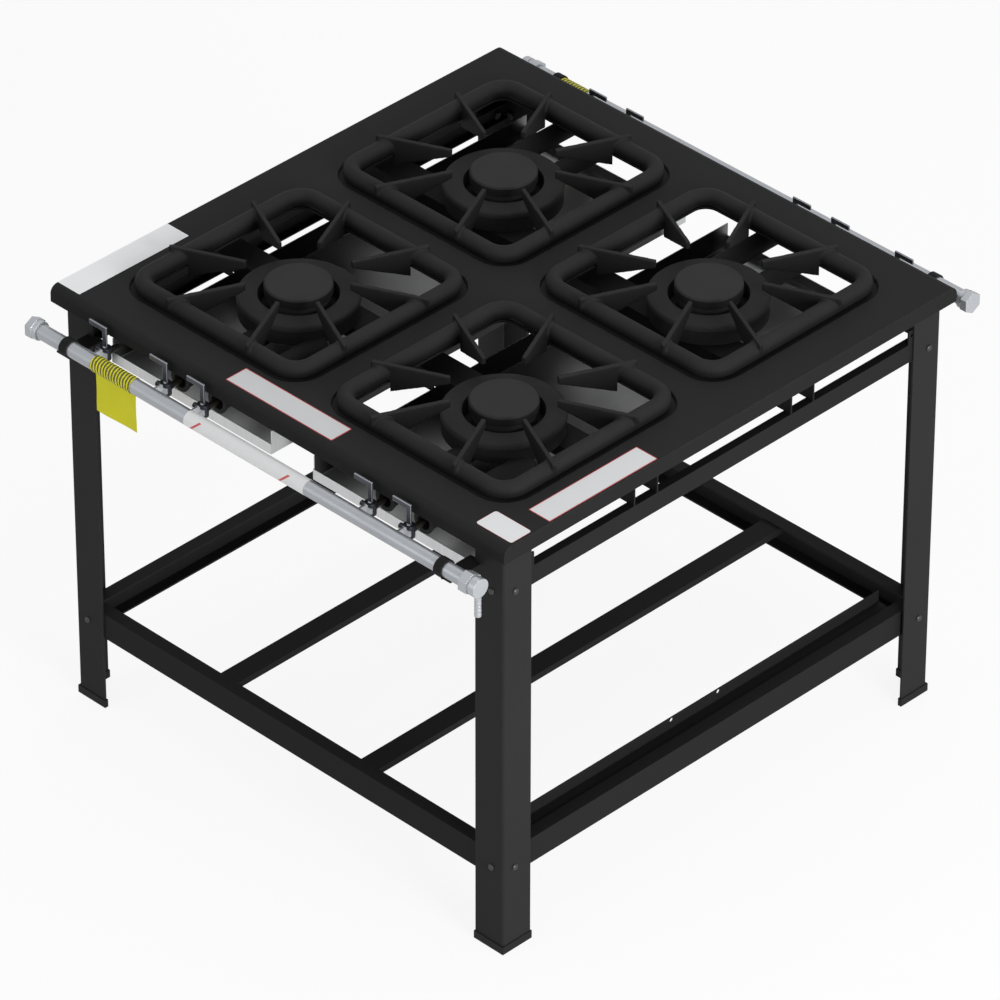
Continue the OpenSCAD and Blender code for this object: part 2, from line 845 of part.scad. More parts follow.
// Solid along X at the front pipe's line, from x0 to x1.
module along_pipe(x0, x1) {
    translate([x0, -pipe_y, pipe_z])
        rotate([0, 90, 0])
            linear_extrude(x1 - x0)
                children();
}

// Hexagon from its size across flats.
module hexagon(af) {
    circle(d = af / cos(30), $fn = 6);
}

module manifold_pipe() {
    color("#a9adb2")
        difference() {
            along_pipe(pipe_x0 + end_wall, head_x0)
                difference() {
                    circle(pipe_r);
                    circle(pipe_bore_r);
                }
            for (x = cock_xs)
                translate([x, -pipe_y + pipe_r, pipe_z])
                    hole_y(stub_r + bolt_play, pipe_r);
        }
}

// End cap: hexagon with a round collar, closed at its outer end.
module end_cap() {
    difference() {
        union() {
            along_pipe(pipe_x0, pipe_x0 + end_hex_len)
                hexagon(hex_af);
            along_pipe(pipe_x0 + end_hex_len, pipe_x0 + end_cap_len)
                circle(hex_af / 2);
        }
        along_pipe(pipe_x0 + end_wall, pipe_x0 + end_cap_len + eps)
            circle(pipe_r);
    }
}

module pipe_end_caps() {
    color("#b4b8bc") {
        end_cap();
        to_back()
            end_cap();
    }
}

// Inlet fitting: nut, neck and disc head, with a grooved nipple pointing down.
module inlet() {
    nipple_z = pipe_z - nipple_reach;
    shoulder_z = hex_af / 2 + shoulder_h;
    color("#b4b8bc")
        difference() {
            union() {
                along_pipe(nut_x0, neck_x0)
                    hexagon(hex_af);
                along_pipe(neck_x0, head_x0)
                    circle(pipe_r + inlet_neck_wall);
                along_pipe(head_x0, pipe_x1)
                    circle(hex_af / 2);
                translate([nipple_x, -pipe_y, nipple_z])
                    cylinder(r = nipple_r, h = nipple_reach);
                translate([nipple_x, -pipe_y, pipe_z - shoulder_z])
                    cylinder(r = nipple_r + shoulder_step, h = shoulder_z);
            }
            for (i = [1:4])
                translate([nipple_x, -pipe_y, nipple_z + i * groove_pitch])
                    difference() {
                        cylinder(r = nipple_r + eps, h = groove_w);
                        cylinder(r = nipple_r - groove_d, h = groove_w);
                    }
            along_pipe(nut_x0 - eps, head_x0)
                circle(pipe_r);
            along_pipe(head_x0 - eps, nipple_x + nipple_bore_r)
                circle(nipple_bore_r);
            translate([nipple_x, -pipe_y, nipple_z - eps])
                cylinder(r = nipple_bore_r, h = nipple_reach + eps);
        }
}

// Pipe bracket at the front left leg: ring, plate and strap under it, bolted foot.
module pipe_bracket() {
    strap_z = pipe_z - bracket_ring_r;
    plate_x = -bracket_x + bracket_w / 2 - bracket_plate_w;
    foot_z = bolt_high_z - bolt_head_r * 2;
    foot_x = leg_x - bolt_inset + nut_af;
    difference() {
        union() {
            along_pipe(-bracket_x - bracket_w / 2, -bracket_x + bracket_w / 2)
                circle(bracket_ring_r);
            translate([plate_x, -pipe_y - bracket_lip, strap_z])
                cube([bracket_plate_w, pipe_y + bracket_lip - leg_y, bracket_t]);
            translate([-bracket_x - bracket_w / 2, -pipe_y, strap_z])
                cube([bracket_w, pipe_y - bracket_foot_y, bracket_t]);
            translate([-foot_x, -leg_in_y, foot_z])
                cube([foot_x - bracket_x + bracket_w / 2, bracket_t,
                      strap_z + bracket_t - foot_z]);
        }
        along_pipe(-bracket_x - bracket_w, -bracket_x + bracket_w)
            circle(pipe_r);
        translate([-leg_x + bolt_inset, -leg_in_y, bolt_high_z])
            hole_y(bolt_r + bolt_play, 4 * bracket_t);
    }
}

module pipe_brackets() {
    color("#1e1e1e")
        at_corners()
            pipe_bracket();
}

// Body of one front cock at x: stub in the pipe, hexagon, body, boss and screw.
module gas_cock(x) {
    translate([x, 0, 0])
        difference() {
            union() {
                translate([0, -cock_y, cock_z0])
                    cylinder(r = cock_r, h = 2 * cock_half_h);
                translate([0, -cock_y, pipe_z])
                    rotate([90, 30, 0])
                        cylinder(d = cock_hex_af / cos(30), h = cock_step, $fn = 6);
                translate([0, -cock_y, pipe_z])
                    rotate([-90, 0, 0])
                        cylinder(r = jet_r + boss_wall, h = boss_reach);
                translate([-cock_r - screw_len, -cock_y, pipe_z])
                    rotate([0, 90, 0])
                        cylinder(r = stub_r, h = screw_len + cock_r);
            }
            translate([0, -pipe_y, pipe_z])
                hole_x(pipe_r, 4 * cock_r);
            translate([0, -cock_y, cock_z1 - spindle_in])
                cylinder(r = spindle_r + spindle_play, h = spindle_in + eps);
        }
    translate([x, -pipe_y + pipe_r + eps, pipe_z])
        rotate([90, 0, 0])
            cylinder(r = stub_r, h = pipe_r - pipe_bore_r + eps);
}

module gas_cocks() {
    color("#33363a")
        for (x = cock_xs)
            gas_cock(x);
}

// Injector of one front cock, on the cock's boss and pointing to its burner.
module injector(x) {
    barrel = jet_len * 0.6;
    translate([x, -cock_y + boss_reach, pipe_z])
        rotate([-90, 0, 0]) {
            cylinder(r = jet_r, h = barrel);
            translate([0, 0, barrel])
                cylinder(r1 = jet_r, r2 = jet_tip_r, h = jet_len - barrel);
        }
}

module injectors() {
    color("#b08d3e") {
        for (x = cock_xs)
            injector(x);
        to_back()
            for (x = cock_xs)
                injector(x);
    }
}

// Lever of front cock number i: spindle, stem and arm in one plate.
module lever(i) {
    x = cock_xs[i - 1];
    stem_z = cock_z1 + lever_gap;
    color("#9aa0a6") {
        translate([x, -cock_y, cock_z1 - spindle_in + lever_gap])
            cylinder(r = spindle_r, h = spindle_in);
        translate([x - lever_w / 2, -cock_y - lever_t / 2, stem_z])
            cube([lever_w, lever_t, lever_top - stem_z]);
        translate([x - lever_arm, -cock_y - lever_t / 2, lever_top - lever_arm_h])
            cube([lever_arm, lever_t, lever_arm_h]);
    }
}

// Hang tag on the front pipe: a sleeve around the pipe and a flat flap.
module front_tag() {
    difference() {
        union() {
            along_pipe(tag_x0, tag_x1)
                circle(pipe_r + tag_t);
            translate([tag_x0, -pipe_y - tag_t / 2, pipe_z - tag_drop])
                cube([tag_x1 - tag_x0, tag_t, tag_drop]);
        }
        along_pipe(tag_x0 - eps, tag_x1 + eps)
            circle(pipe_r);
    }
}

// Sleeve of the back tag, drawn on the front pipe beside its inlet bracket.
module back_tag() {
    x1 = bracket_x - bracket_w / 2 - back_tag_gap;
    along_pipe(pitch_x / 2 + back_tag_start, x1)
        difference() {
            circle(pipe_r + tag_t);
            circle(pipe_r);
        }
}

module hang_tags() {
    color("#c9c62c") {
        front_tag();
        to_back()
            back_tag();
    }
}

// Bolt along +Y from the face at the origin: head, shank through grip, nut.
module bolt(grip, collar) {
    rotate([-90, 0, 0]) {
        cylinder(r = bolt_r, h = grip + nut_t);
        translate([0, 0, -bolt_head_h * 0.4])
            cylinder(r = bolt_head_r, h = bolt_head_h * 0.4);
        translate([0, 0, -bolt_head_h])
            cylinder(r1 = bolt_head_r * 0.5, r2 = bolt_head_r, h = bolt_head_h * 0.6);
        if (collar > 0)
            translate([0, 0, leg_t])
                cylinder(r = bolt_r * 1.6, h = collar);
        translate([0, 0, grip])
            cylinder(d = nut_af / cos(30), h = nut_t, $fn = 6);
    }
}

module bolts() {
    color("#3a3a3a")
        at_corners() {
            translate([-leg_x + bolt_inset, -leg_y, bolt_low_z])
                bolt(leg_t + rail_t, 0);
            translate([-leg_x + bolt_inset, -leg_y, bolt_high_z])
                bolt(leg_t + bracket_t, 0);
            translate([-leg_x, -leg_y + bolt_inset, bolt_low_z])
                rotate([0, 0, -90])
                    bolt(leg_t + side_rail_gap + rail_t, side_rail_gap);
            translate([-leg_x, -leg_y + bolt_inset, bolt_high_z])
                rotate([0, 0, -90])
                    bolt(leg_t + upper_t, 0);
        }
}

top_sheet();
leg();  // leg_front_left
mirror([1, 0, 0]) leg();  // leg_front_right
mirror([0, 1, 0]) leg();  // leg_back_left
to_back() leg();  // leg_back_right
foot_caps();
lower_rail_front();
to_back() lower_rail_front();  // lower_rail_back
lower_rail_left();
to_back() lower_rail_left();  // lower_rail_right
upper_rail_left();
to_back() upper_rail_left();  // upper_rail_right
shelf_bar(-shelf_bar_pitch / 2);  // shelf_bar_left
shelf_bar(shelf_bar_pitch / 2);  // shelf_bar_right
shelf_edge_strip();
burner_channel(-chan_y);  // burner_channel_front
burner_channel(chan_y);  // burner_channel_back
tray_hangers();
drip_tray(-1);  // drip_tray_left
drip_tray(1);  // drip_tray_right
grate(-1, -1);  // grate_front_left
grate(1, -1);  // grate_front_right
grate(-1, 1);  // grate_back_left
grate(1, 1);  // grate_back_right
burner(-1);  // burner_front_left
burner(1);  // burner_front_right
to_back() burner(1);  // burner_back_left
to_back() burner(-1);  // burner_back_right
crown(-1, -1);  // crown_front_left
crown(1, -1);  // crown_front_right
crown(-1, 1);  // crown_back_left
crown(1, 1);  // crown_back_right
burner_cap(-1, -1);  // cap_front_left
burner_cap(1, -1);  // cap_front_right
burner_cap(-1, 1);  // cap_back_left
burner_cap(1, 1);  // cap_back_right
manifold_pipe();  // manifold_pipe_front
to_back() manifold_pipe();  // manifold_pipe_back
pipe_end_caps();
inlet();  // inlet_front
to_back() inlet();  // inlet_back
pipe_brackets();
gas_cocks();  // gas_cocks_front
to_back() gas_cocks();  // gas_cocks_back
injectors();
lever(1);  // lever_front_1
lever(2);  // lever_front_2
lever(3);  // lever_front_3
lever(4);  // lever_front_4
lever(5);  // lever_front_5
to_back() lever(1);  // lever_back_1
to_back() lever(2);  // lever_back_2
to_back() lever(3);  // lever_back_3
to_back() lever(4);  // lever_back_4
to_back() lever(5);  // lever_back_5
hang_tags();
bolts();
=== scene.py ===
"""Dresses a four-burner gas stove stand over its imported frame.

The stand is an angle-steel frame with a pressed black top, four cast grates over
four ring burners, two long drip trays and a gas line with lever cocks on two sides.
Every sub-assembly below is a class that holds its own sizes in metres.
"""

from __future__ import annotations

import json
import logging
import math
from dataclasses import dataclass
from enum import Enum
from typing import Callable, Iterable, Sequence, Union

import bmesh
import bpy
from mathutils import Matrix, Vector

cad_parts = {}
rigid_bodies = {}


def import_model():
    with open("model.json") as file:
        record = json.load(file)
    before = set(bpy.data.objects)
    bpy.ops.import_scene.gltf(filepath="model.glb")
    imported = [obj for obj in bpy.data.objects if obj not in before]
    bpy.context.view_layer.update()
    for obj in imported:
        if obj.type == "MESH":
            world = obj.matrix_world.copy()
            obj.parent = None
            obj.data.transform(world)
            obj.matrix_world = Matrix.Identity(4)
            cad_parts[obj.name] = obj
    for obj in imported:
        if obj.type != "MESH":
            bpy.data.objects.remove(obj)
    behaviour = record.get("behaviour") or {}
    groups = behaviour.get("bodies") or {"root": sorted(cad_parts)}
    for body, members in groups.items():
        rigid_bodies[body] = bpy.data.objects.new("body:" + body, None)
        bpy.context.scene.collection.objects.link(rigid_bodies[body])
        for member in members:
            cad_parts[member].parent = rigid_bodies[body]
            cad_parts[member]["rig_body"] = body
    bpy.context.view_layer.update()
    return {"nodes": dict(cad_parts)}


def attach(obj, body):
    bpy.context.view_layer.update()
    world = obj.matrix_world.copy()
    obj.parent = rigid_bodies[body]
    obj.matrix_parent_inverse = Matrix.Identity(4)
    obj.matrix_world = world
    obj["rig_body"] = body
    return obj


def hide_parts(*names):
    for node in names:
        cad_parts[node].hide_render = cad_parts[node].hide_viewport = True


logging.basicConfig(level=logging.INFO, format="%(name)s: %(message)s")
log = logging.getLogger("stove")

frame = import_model()

Pair = tuple[float, float]
Triple = tuple[float, float, float]
Colour = Triple
Material = bpy.types.Material
BMesh, BMVert, BMEdge = bmesh.types.BMesh, bmesh.types.BMVert, bmesh.types.BMEdge
Pick = Callable[[BMEdge], bool]

# From one burner's middle to the next along X and Y, in metres.
PITCH = (0.375, 0.376)
# The corners, with their signs of X and Y.
CORNERS = {"front_left": (-1, -1), "front_right": (1, -1), "back_left": (-1, 1), "back_right": (1, 1)}
# Corners of loose triangles that are closer than this are one, in metres.
SAME_POINT = 2e-6
# Two faces are one flat below the first angle and sharp above the second, in degrees.
FLAT_ANGLE = 0.4
SHARP_ANGLE = 42.0
# How strongly broad faces shade their corners, in per cent.
FLATTENING = 60
# Heights that differ by less are the same, in metres.
SAME_LEVEL = 1e-4


class Edge(Enum):
    """How far the edges of a kind of piece are broken, in metres."""

    SHEET = 0.0004
    BAR = 0.0007
    TURNED = 0.0006


class Side(Enum):
    """The two long sides of the stand, with the sign of Y."""

    FRONT = -1
    BACK = 1


# Shader graphs


class Sock:
    """A shader socket that takes part in sums as a number does."""

    def __init__(self, graph: Graph, socket: bpy.types.NodeSocket) -> None:
        """Keeps the socket and the graph that new nodes go into."""
        self.graph = graph
        self.socket = socket

    def _sum(self, operation: str, first: Number, second: Number) -> Sock:
        """Adds one Math node and returns its output."""
        return self.graph.add("ShaderNodeMath", {"operation": operation}, {0: first, 1: second})

    def __add__(self, other: Number) -> Sock:
        """Returns self + other."""
        return self._sum("ADD", self, other)

    def __radd__(self, other: Number) -> Sock:
        """Returns other + self."""
        return self._sum("ADD", other, self)

    def __sub__(self, other: Number) -> Sock:
        """Returns self - other."""
        return self._sum("SUBTRACT", self, other)

    def __rsub__(self, other: Number) -> Sock:
        """Returns other - self."""
        return self._sum("SUBTRACT", other, self)

    def __mul__(self, other: Number) -> Sock:
        """Returns self * other."""
        return self._sum("MULTIPLY", self, other)

    def __rmul__(self, other: Number) -> Sock:
        """Returns other * self."""
        return self._sum("MULTIPLY", other, self)

    def __pow__(self, other: Number) -> Sock:
        """Returns self to the power of other."""
        return self._sum("POWER", self, other)

    def __rpow__(self, other: Number) -> Sock:
        """Returns other to the power of self."""
        return self._sum("POWER", other, self)

    def __gt__(self, other: Number) -> Sock:
        """Returns 1 where self is above other, else 0."""
        return self._sum("GREATER_THAN", self, other)

    def __lt__(self, other: Number) -> Sock:
        """Returns 1 where self is below other, else 0."""
        return self._sum("LESS_THAN", self, other)

    def sine(self) -> Sock:
        """Returns the sine of self."""
        return self._sum("SINE", self, 0.0)

    def size(self) -> Sock:
        """Returns self without its sign."""
        return self._sum("ABSOLUTE", self, 0.0)

    def swing(self, by: float) -> Sock:
        """Returns how far self is from 0.5, times a number."""
        return (self - 0.5) * by

    def at_least(self, other: Number) -> Sock:
        """Returns the larger of self and other."""
        return self._sum("MAXIMUM", self, other)

    def at_most(self, other: Number) -> Sock:
        """Returns the smaller of self and other."""
        return self._sum("MINIMUM", self, other)


Number = Union[Sock, float, int]
Tint = Union[Sock, Colour]


class Graph:
    """A node tree, with the few calls that the finishes and the surround need."""

    def __init__(self, holder: Union[Material, bpy.types.World]) -> None:
        """Empties the node tree of a material or of the world.

        Args:
            holder: the material or world.
        """
        self.holder = holder
        self.holder.use_nodes = True
        self.tree = self.holder.node_tree
        self.tree.nodes.clear()
        self._place: Sock | None = None

    def node(self, kind: str, settings: dict, inputs: dict) -> bpy.types.Node:
        """Adds a node.

        Args:
            kind: the node's type.
            settings: its properties, set first.
            inputs: values or sockets, by input name or number.

        Returns:
            The node.
        """
        made = self.tree.nodes.new(kind)
        for key, value in settings.items():
            setattr(made, key, value)
        for key, value in inputs.items():
            if isinstance(value, Sock):
                self.tree.links.new(value.socket, made.inputs[key])
            else:
                made.inputs[key].default_value = value
        return made

    def add(self, kind: str, settings: dict, inputs: dict, output: Union[int, str] = 0) -> Sock:
        """Adds a node and returns one of its outputs, wrapped."""
        return Sock(self, self.node(kind, settings, inputs).outputs[output])

    def place(self) -> Sock:
        """Finds the object coordinates, made once.

        Returns:
            The coordinates.
        """
        if self._place is None:
            self._place = self.add("ShaderNodeTexCoord", {}, {}, "Object")
        return self._place

    def noise(self, scale: float, detail: float = 2.0, stretch: Sequence[float] = (1, 1, 1)) -> Sock:
        """Returns a noise value.

        Args:
            scale: waves per metre.
            detail: octaves.
            stretch: scale along each axis.

        Returns:
            The noise, about 0.5 on average.
        """
        where = self.place()
        if tuple(stretch) != (1, 1, 1):
            where = self.add("ShaderNodeMapping", {}, {"Vector": where, "Scale": tuple(stretch)})
        return self.add("ShaderNodeTexNoise", {"noise_dimensions": "3D"},
                        {"Vector": where, "Scale": scale, "Detail": detail}, "Fac")

    def axes(self, where: Sock | None = None) -> tuple[Sock, Sock, Sock]:
        """Returns the three parts of a vector, the place by default."""
        made = self.node("ShaderNodeSeparateXYZ", {}, {0: where or self.place()})
        return tuple(Sock(self, out) for out in made.outputs)

    def attribute(self, name: str) -> Sock:
        """Returns a number that the mesh stores."""
        return self.add("ShaderNodeAttribute", {"attribute_name": name}, {}, "Fac")

    def mix(self, share: Number, first: Tint, second: Tint) -> Sock:
        """Returns a colour between two, by a share from 0 to 1."""
        colours = [c if isinstance(c, Sock) else (*c, 1.0) for c in (first, second)]
        return self.add("ShaderNodeMix", {"data_type": "RGBA", "clamp_factor": True},
                        {"Factor": share, 6: colours[0], 7: colours[1]}, 2)

    def dimmed(self, colour: Sock, by: Number) -> Sock:
        """Returns a colour times a number."""
        return self.add("ShaderNodeVectorMath", {"operation": "SCALE"}, {0: colour, "Scale": by})

    def tones(self, share: Number, colour: Colour, ends: Pair) -> Sock:
        """Returns a colour between two of its own tones, by a share from 0 to 1."""
        return self.mix(share, shade(colour, ends[0]), shade(colour, ends[1]))

    def facing(self, colour: Sock, upright: float) -> Sock:
        """Returns a colour as it is on top, and times a number where the surface stands upright, as painted
        light or painted shade on the sides.
        """
        return self.dimmed(colour, self.attribute("upward") * (1.0 - upright) + upright)

    def ramp(self, value: Sock, low: float, high: float) -> Sock:
        """Returns a soft step from 0 at low to 1 at high."""
        return self.add("ShaderNodeMapRange", {"interpolation_type": "SMOOTHSTEP"},
                        {"Value": value, "From Min": low, "From Max": high})

    def rays(self) -> tuple[Sock, Sock, Sock]:
        """Returns whether a ray is seen straight, mirrored or through glass."""
        path = self.node("ShaderNodeLightPath", {}, {})
        return tuple(Sock(self, path.outputs[f"Is {kind} Ray"])
                     for kind in ("Camera", "Glossy", "Transmission"))

    def bump(self, height: Sock, depth: float, under: Sock | None = None) -> Sock:
        """Returns a normal bent by a height.

        Args:
            height: the height, from 0 to 1.
            depth: how deep 1 is, in metres.
            under: a normal to start from.

        Returns:
            The bent normal.
        """
        inputs: dict = {"Strength": 1.0, "Distance": depth, "Height": height}
        if under is not None:
            inputs["Normal"] = under
        return self.add("ShaderNodeBump", {}, inputs)

    def finish(self, colour: Tint, roughness: Number, metallic: Number = 0.0,
               normal: Sock | None = None, specular: float = 0.5) -> Material:
        """Closes the material.

        Args:
            colour: base colour.
            roughness: roughness.
            metallic: metallic share.
            normal: bent normal, if any.
            specular: specular level, one number for the whole surface.

        Returns:
            The finished material.
        """
        inputs: dict = {
            "Base Color": colour if isinstance(colour, Sock) else (*colour, 1.0),
            "Roughness": roughness,
            "Metallic": metallic,
            "Specular IOR Level": specular,
        }
        if normal is not None:
            inputs["Normal"] = normal
        shader = self.add("ShaderNodeBsdfPrincipled", {}, inputs)
        self.node("ShaderNodeOutputMaterial", {}, {"Surface": shader})
        return self.holder


def shade(colour: Colour, by: float) -> Colour:
    """Returns a colour made lighter or darker."""
    return tuple(min(1.0, part * by) for part in colour)


# Finishes


@dataclass(frozen=True)
class Finish:
    """What every finish shares: the material's name and the start of its graph.

    Each noise of a finish is its waves per metre and its octaves.
    """

    name: str

    def graph(self) -> Graph:
        """Starts the material."""
        return Graph(bpy.data.materials.new(self.name))


@dataclass(frozen=True)
class PowderCoat(Finish):
    """Baked black powder coat: orange peel, faint cloudiness, edges rubbed lighter.

    Upright faces are painted darker (painted shade) or lighter (painted light) than the others by the factor
    upright, for how the light falls on them.
    """

    colour: Colour
    roughness: float = 0.56
    upright: float = 1.0
    peel_depth: float = 0.00003
    specular: float = 0.05
    cloud: Pair = (7.0, 3.0)
    peel: Pair = (650.0, 2.0)
    dust: Pair = (90.0, 4.0)
    rub: Pair = (160.0, 2.0)
    cloud_tones: Pair = (0.86, 1.14)
    dust_tone: float = 1.35
    rub_tone: float = 1.9
    rub_from: float = 0.42
    rub_share: float = 0.5

    def material(self) -> Material:
        """Builds the material.

        Returns:
            The material.
        """
        g = self.graph()
        cloud = g.noise(*self.cloud)
        peel = g.noise(*self.peel)
        dust = g.noise(*self.dust)
        rub = g.attribute("broken_edge") * (g.noise(*self.rub) > self.rub_from)
        base = g.tones(cloud, self.colour, self.cloud_tones)
        base = g.mix(dust.swing(0.5) + 0.1, base, shade(self.colour, self.dust_tone))
        base = g.mix(rub * self.rub_share, base, shade(self.colour, self.rub_tone))
        # Painted light and shade: upright faces are scaled by the factor upright.
        if self.upright != 1.0:
            base = g.facing(base, self.upright)
        rough = self.roughness + cloud.swing(0.12) + dust.swing(0.10)
        return g.finish(base, rough, 0.0, g.bump(peel, self.peel_depth), self.specular)


@dataclass(frozen=True)
class CastIron(Finish):
    """Black coated sand casting: grainy, slightly pitted and dull.

    Its sides are painted darker (painted shade) or lighter (painted light) than its top by the factor
    upright, for how the light falls on them. A turned casting has fine rings around the middle of its burner.
    """

    colour: Colour
    roughness: float = 0.66
    grain: float = 0.00012
    turned: bool = False
    upright: float = 0.55
    specular: float = 0.06
    sand: Pair = (420.0, 4.0)
    pits: Pair = (1100.0, 1.0)
    cloud: Pair = (18.0, 3.0)
    cloud_tones: Pair = (0.84, 1.16)
    sand_tone: float = 1.5
    pit_tone: float = 0.55
    pit_below: float = 0.36
    pit_depth: float = 0.4
    ring_waves: float = 5200.0
    ring_depth: float = 0.00002

    def material(self) -> Material:
        """Builds the material.

        Returns:
            The material.
        """
        g = self.graph()
        sand = g.noise(*self.sand)
        pits = g.noise(*self.pits)
        cloud = g.noise(*self.cloud)
        base = g.tones(cloud, self.colour, self.cloud_tones)
        base = g.mix((sand - 0.45) * 0.7, base, shade(self.colour, self.sand_tone))
        base = g.mix((pits < self.pit_below) * 0.5, base, shade(self.colour, self.pit_tone))
        # Painted light and shade: the sides are scaled by the factor upright.
        base = g.facing(base, self.upright)
        normal = g.bump(sand, self.grain)
        if self.turned:
            x, y, _z = g.axes()
            across = ((x.size() - PITCH[0] / 2) ** 2 + (y.size() - PITCH[1] / 2) ** 2) ** 0.5
            normal = g.bump((across * self.ring_waves).sine() * 0.5 + 0.5, self.ring_depth, normal)
        normal = g.bump(pits, self.grain * self.pit_depth, normal)
        return g.finish(base, self.roughness + sand.swing(0.16), 0.0, normal, self.specular)


@dataclass(frozen=True)
class PlatedSteel(Finish):
    """Zinc or nickel plate over steel, with drawing marks along one axis and an optional painted highlight on
    its broken edges.
    """

    colour: Colour
    metallic: float = 0.75
    roughness: float = 0.36
    grain: Triple = (0.05, 1.0, 1.0)
    spread: float = 0.10
    edge_highlight: float = 0.0
    edge_highlight_colour: Colour = (0.55, 0.56, 0.60)
    marks: Pair = (900.0, 3.0)
    mark_depth: float = 0.00002
    bloom: Pair = (45.0, 4.0)
    bloom_tone: float = 0.72

    def material(self) -> Material:
        """Builds the material.

        Returns:
            The material.
        """
        g = self.graph()
        marks = g.noise(*self.marks, self.grain)
        bloom = g.noise(*self.bloom)
        base = g.tones(marks, self.colour, (1.0 - self.spread, 1.0 + self.spread))
        base = g.mix(bloom.swing(0.6) + 0.1, base, shade(self.colour, self.bloom_tone))
        # Painted highlight: broken edges are made lighter, standing for light glinting on them.
        if self.edge_highlight > 0.0:
            base = g.mix(g.attribute("broken_edge") * self.edge_highlight, base, self.edge_highlight_colour)
        rough = self.roughness + bloom.swing(0.22) + marks.swing(0.10)
        return g.finish(base, rough, self.metallic, g.bump(marks, self.mark_depth))


@dataclass(frozen=True)
class GalvanisedSheet(Finish):
    """Galvanised sheet: faint spangle, upright rolling lines, and painted shade where the top sheet covers
    it.

    The mesh stores how hollow each face lies: 0 outside, about half on the floor, 1 on inner walls; the
    painted shade is strongest on the inner walls and weaker on the floor. Along Y it is bright beyond
    bright_end, and the painted shade grows towards the middle.
    """

    colour: Colour
    metallic: float = 1.0
    roughness: float = 0.42
    bright_end: float = 0.385
    shaded_from: float = 0.350
    outer_shift: float = 0.02
    shelter_shade: float = 0.94
    floor_relief: float = 0.48
    wall_shade: float = 0.70
    lines: Pair = (420.0, 3.0)
    line_stretch: Triple = (1.0, 1.0, 0.03)
    line_depth: float = 0.000006
    line_tones: Pair = (0.86, 1.10)
    grain: Pair = (1300.0, 3.0)
    grain_tone: float = 0.78
    spangle_cells: float = 70.0

    def material(self) -> Material:
        """Builds the material.

        Returns:
            The material.
        """
        g = self.graph()
        lines = g.noise(*self.lines, self.line_stretch)
        grain = g.noise(*self.grain)
        spangle = g.add("ShaderNodeTexVoronoi", {"feature": "F1"},
                        {"Vector": g.place(), "Scale": self.spangle_cells}, "Color")
        patch = g.axes(spangle)[0]
        base = g.tones(lines, self.colour, self.line_tones)
        base = g.mix(patch * 0.12 + grain.swing(0.5), base, shade(self.colour, self.grain_tone))
        _x, y, _z = g.axes()
        hollow = g.attribute("hollow")
        # Painted shade: the sheet is darkened towards the middle along Y, where the top sheet shades the
        # tray, most on its inner walls.
        deep = g.ramp(y.size() + (1.0 - hollow) * self.outer_shift, self.bright_end, self.shaded_from)
        on_floor = hollow * (1.0 - hollow) * 4.0
        on_wall = hollow * hollow
        unshaded = ((1.0 - deep * (self.shelter_shade - on_floor * self.floor_relief))
                 * (1.0 - on_wall * self.wall_shade))
        rough = self.roughness + patch.swing(0.05) + lines.swing(0.06) + grain.swing(0.10)
        return g.finish(g.dimmed(base, unshaded), rough, self.metallic, g.bump(lines, self.line_depth))


@dataclass(frozen=True)
class MouldedPlastic(Finish):
    """Moulded or film plastic with a fine even texture."""

    colour: Colour
    roughness: float = 0.5
    texture: float = 0.00003
    specular: float = 0.15
    fine: Pair = (1500.0, 2.0)
    cloud: Pair = (30.0, 3.0)
    cloud_tones: Pair = (0.90, 1.08)

    def material(self) -> Material:
        """Builds the material.

        Returns:
            The material.
        """
        g = self.graph()
        fine = g.noise(*self.fine)
        base = g.tones(g.noise(*self.cloud), self.colour, self.cloud_tones)
        return g.finish(base, self.roughness + fine.swing(0.12), 0.0, g.bump(fine, self.texture),
                        self.specular)


@dataclass(frozen=True)
class RibbedFilm(Finish):
    """Yellow film wound in a tight screw around a pipe, with painted shade between its ribs."""

    colour: Colour
    groove_shade: Colour
    pitch: float
    axis_y: float
    axis_z: float
    askew_noise: Pair = (110.0, 2.0)
    askew: float = 3.2
    fray_noise: Pair = (300.0, 3.0)
    fray: float = 0.6
    contrast: float = 1.8
    groove_below: float = 0.45
    rib_height: float = 0.0006

    def material(self) -> Material:
        """Builds the material.

        Returns:
            The material.
        """
        g = self.graph()
        x, y, z = g.axes()
        turn = g.add("ShaderNodeMath", {"operation": "ARCTAN2"},
                     {0: z - self.axis_z, 1: y.size() - self.axis_y})
        askew = g.noise(*self.askew_noise).swing(self.askew)
        wave = (x * (2.0 * math.pi / self.pitch) + turn * 2.0 + askew).sine() * 0.5 + 0.5
        wave = wave + g.noise(*self.fray_noise).swing(self.fray)
        # Painted shade: the film is darkened in the grooves between its ribs.
        base = g.mix(wave * self.contrast - self.groove_below, self.groove_shade, self.colour)
        return g.finish(base, 0.48 + wave * 0.1, 0.0, g.bump(wave, self.rib_height), 0.45)


@dataclass(frozen=True)
class StickerPaper(Finish):
    """Plain white sticker with a thin coloured line just inside its edge."""

    centre: Pair
    half: Pair
    paper: Colour = (0.68, 0.69, 0.70)
    line: Colour = (0.50, 0.06, 0.07)
    line_width: float = 0.0012
    fibre: Pair = (900.0, 3.0)
    cloud: Pair = (35.0, 2.0)
    cloud_tones: Pair = (0.95, 1.0)

    def material(self) -> Material:
        """Builds the material.

        Returns:
            The material.
        """
        g = self.graph()
        x, y, _z = g.axes()
        to_side = self.half[0] - (x - self.centre[0]).size()
        to_end = self.half[1] - (y - self.centre[1]).size()
        fibre = g.noise(*self.fibre)
        base = g.tones(g.noise(*self.cloud), self.paper, self.cloud_tones)
        base = g.mix(fibre.swing(0.2), base, shade(self.paper, 0.8))
        if self.line_width > 0.0:
            base = g.mix(to_side.at_most(to_end) < self.line_width, base, self.line)
        return g.finish(base, 0.5 + fibre.swing(0.1), 0.0, g.bump(fibre, 0.00001), 0.4)


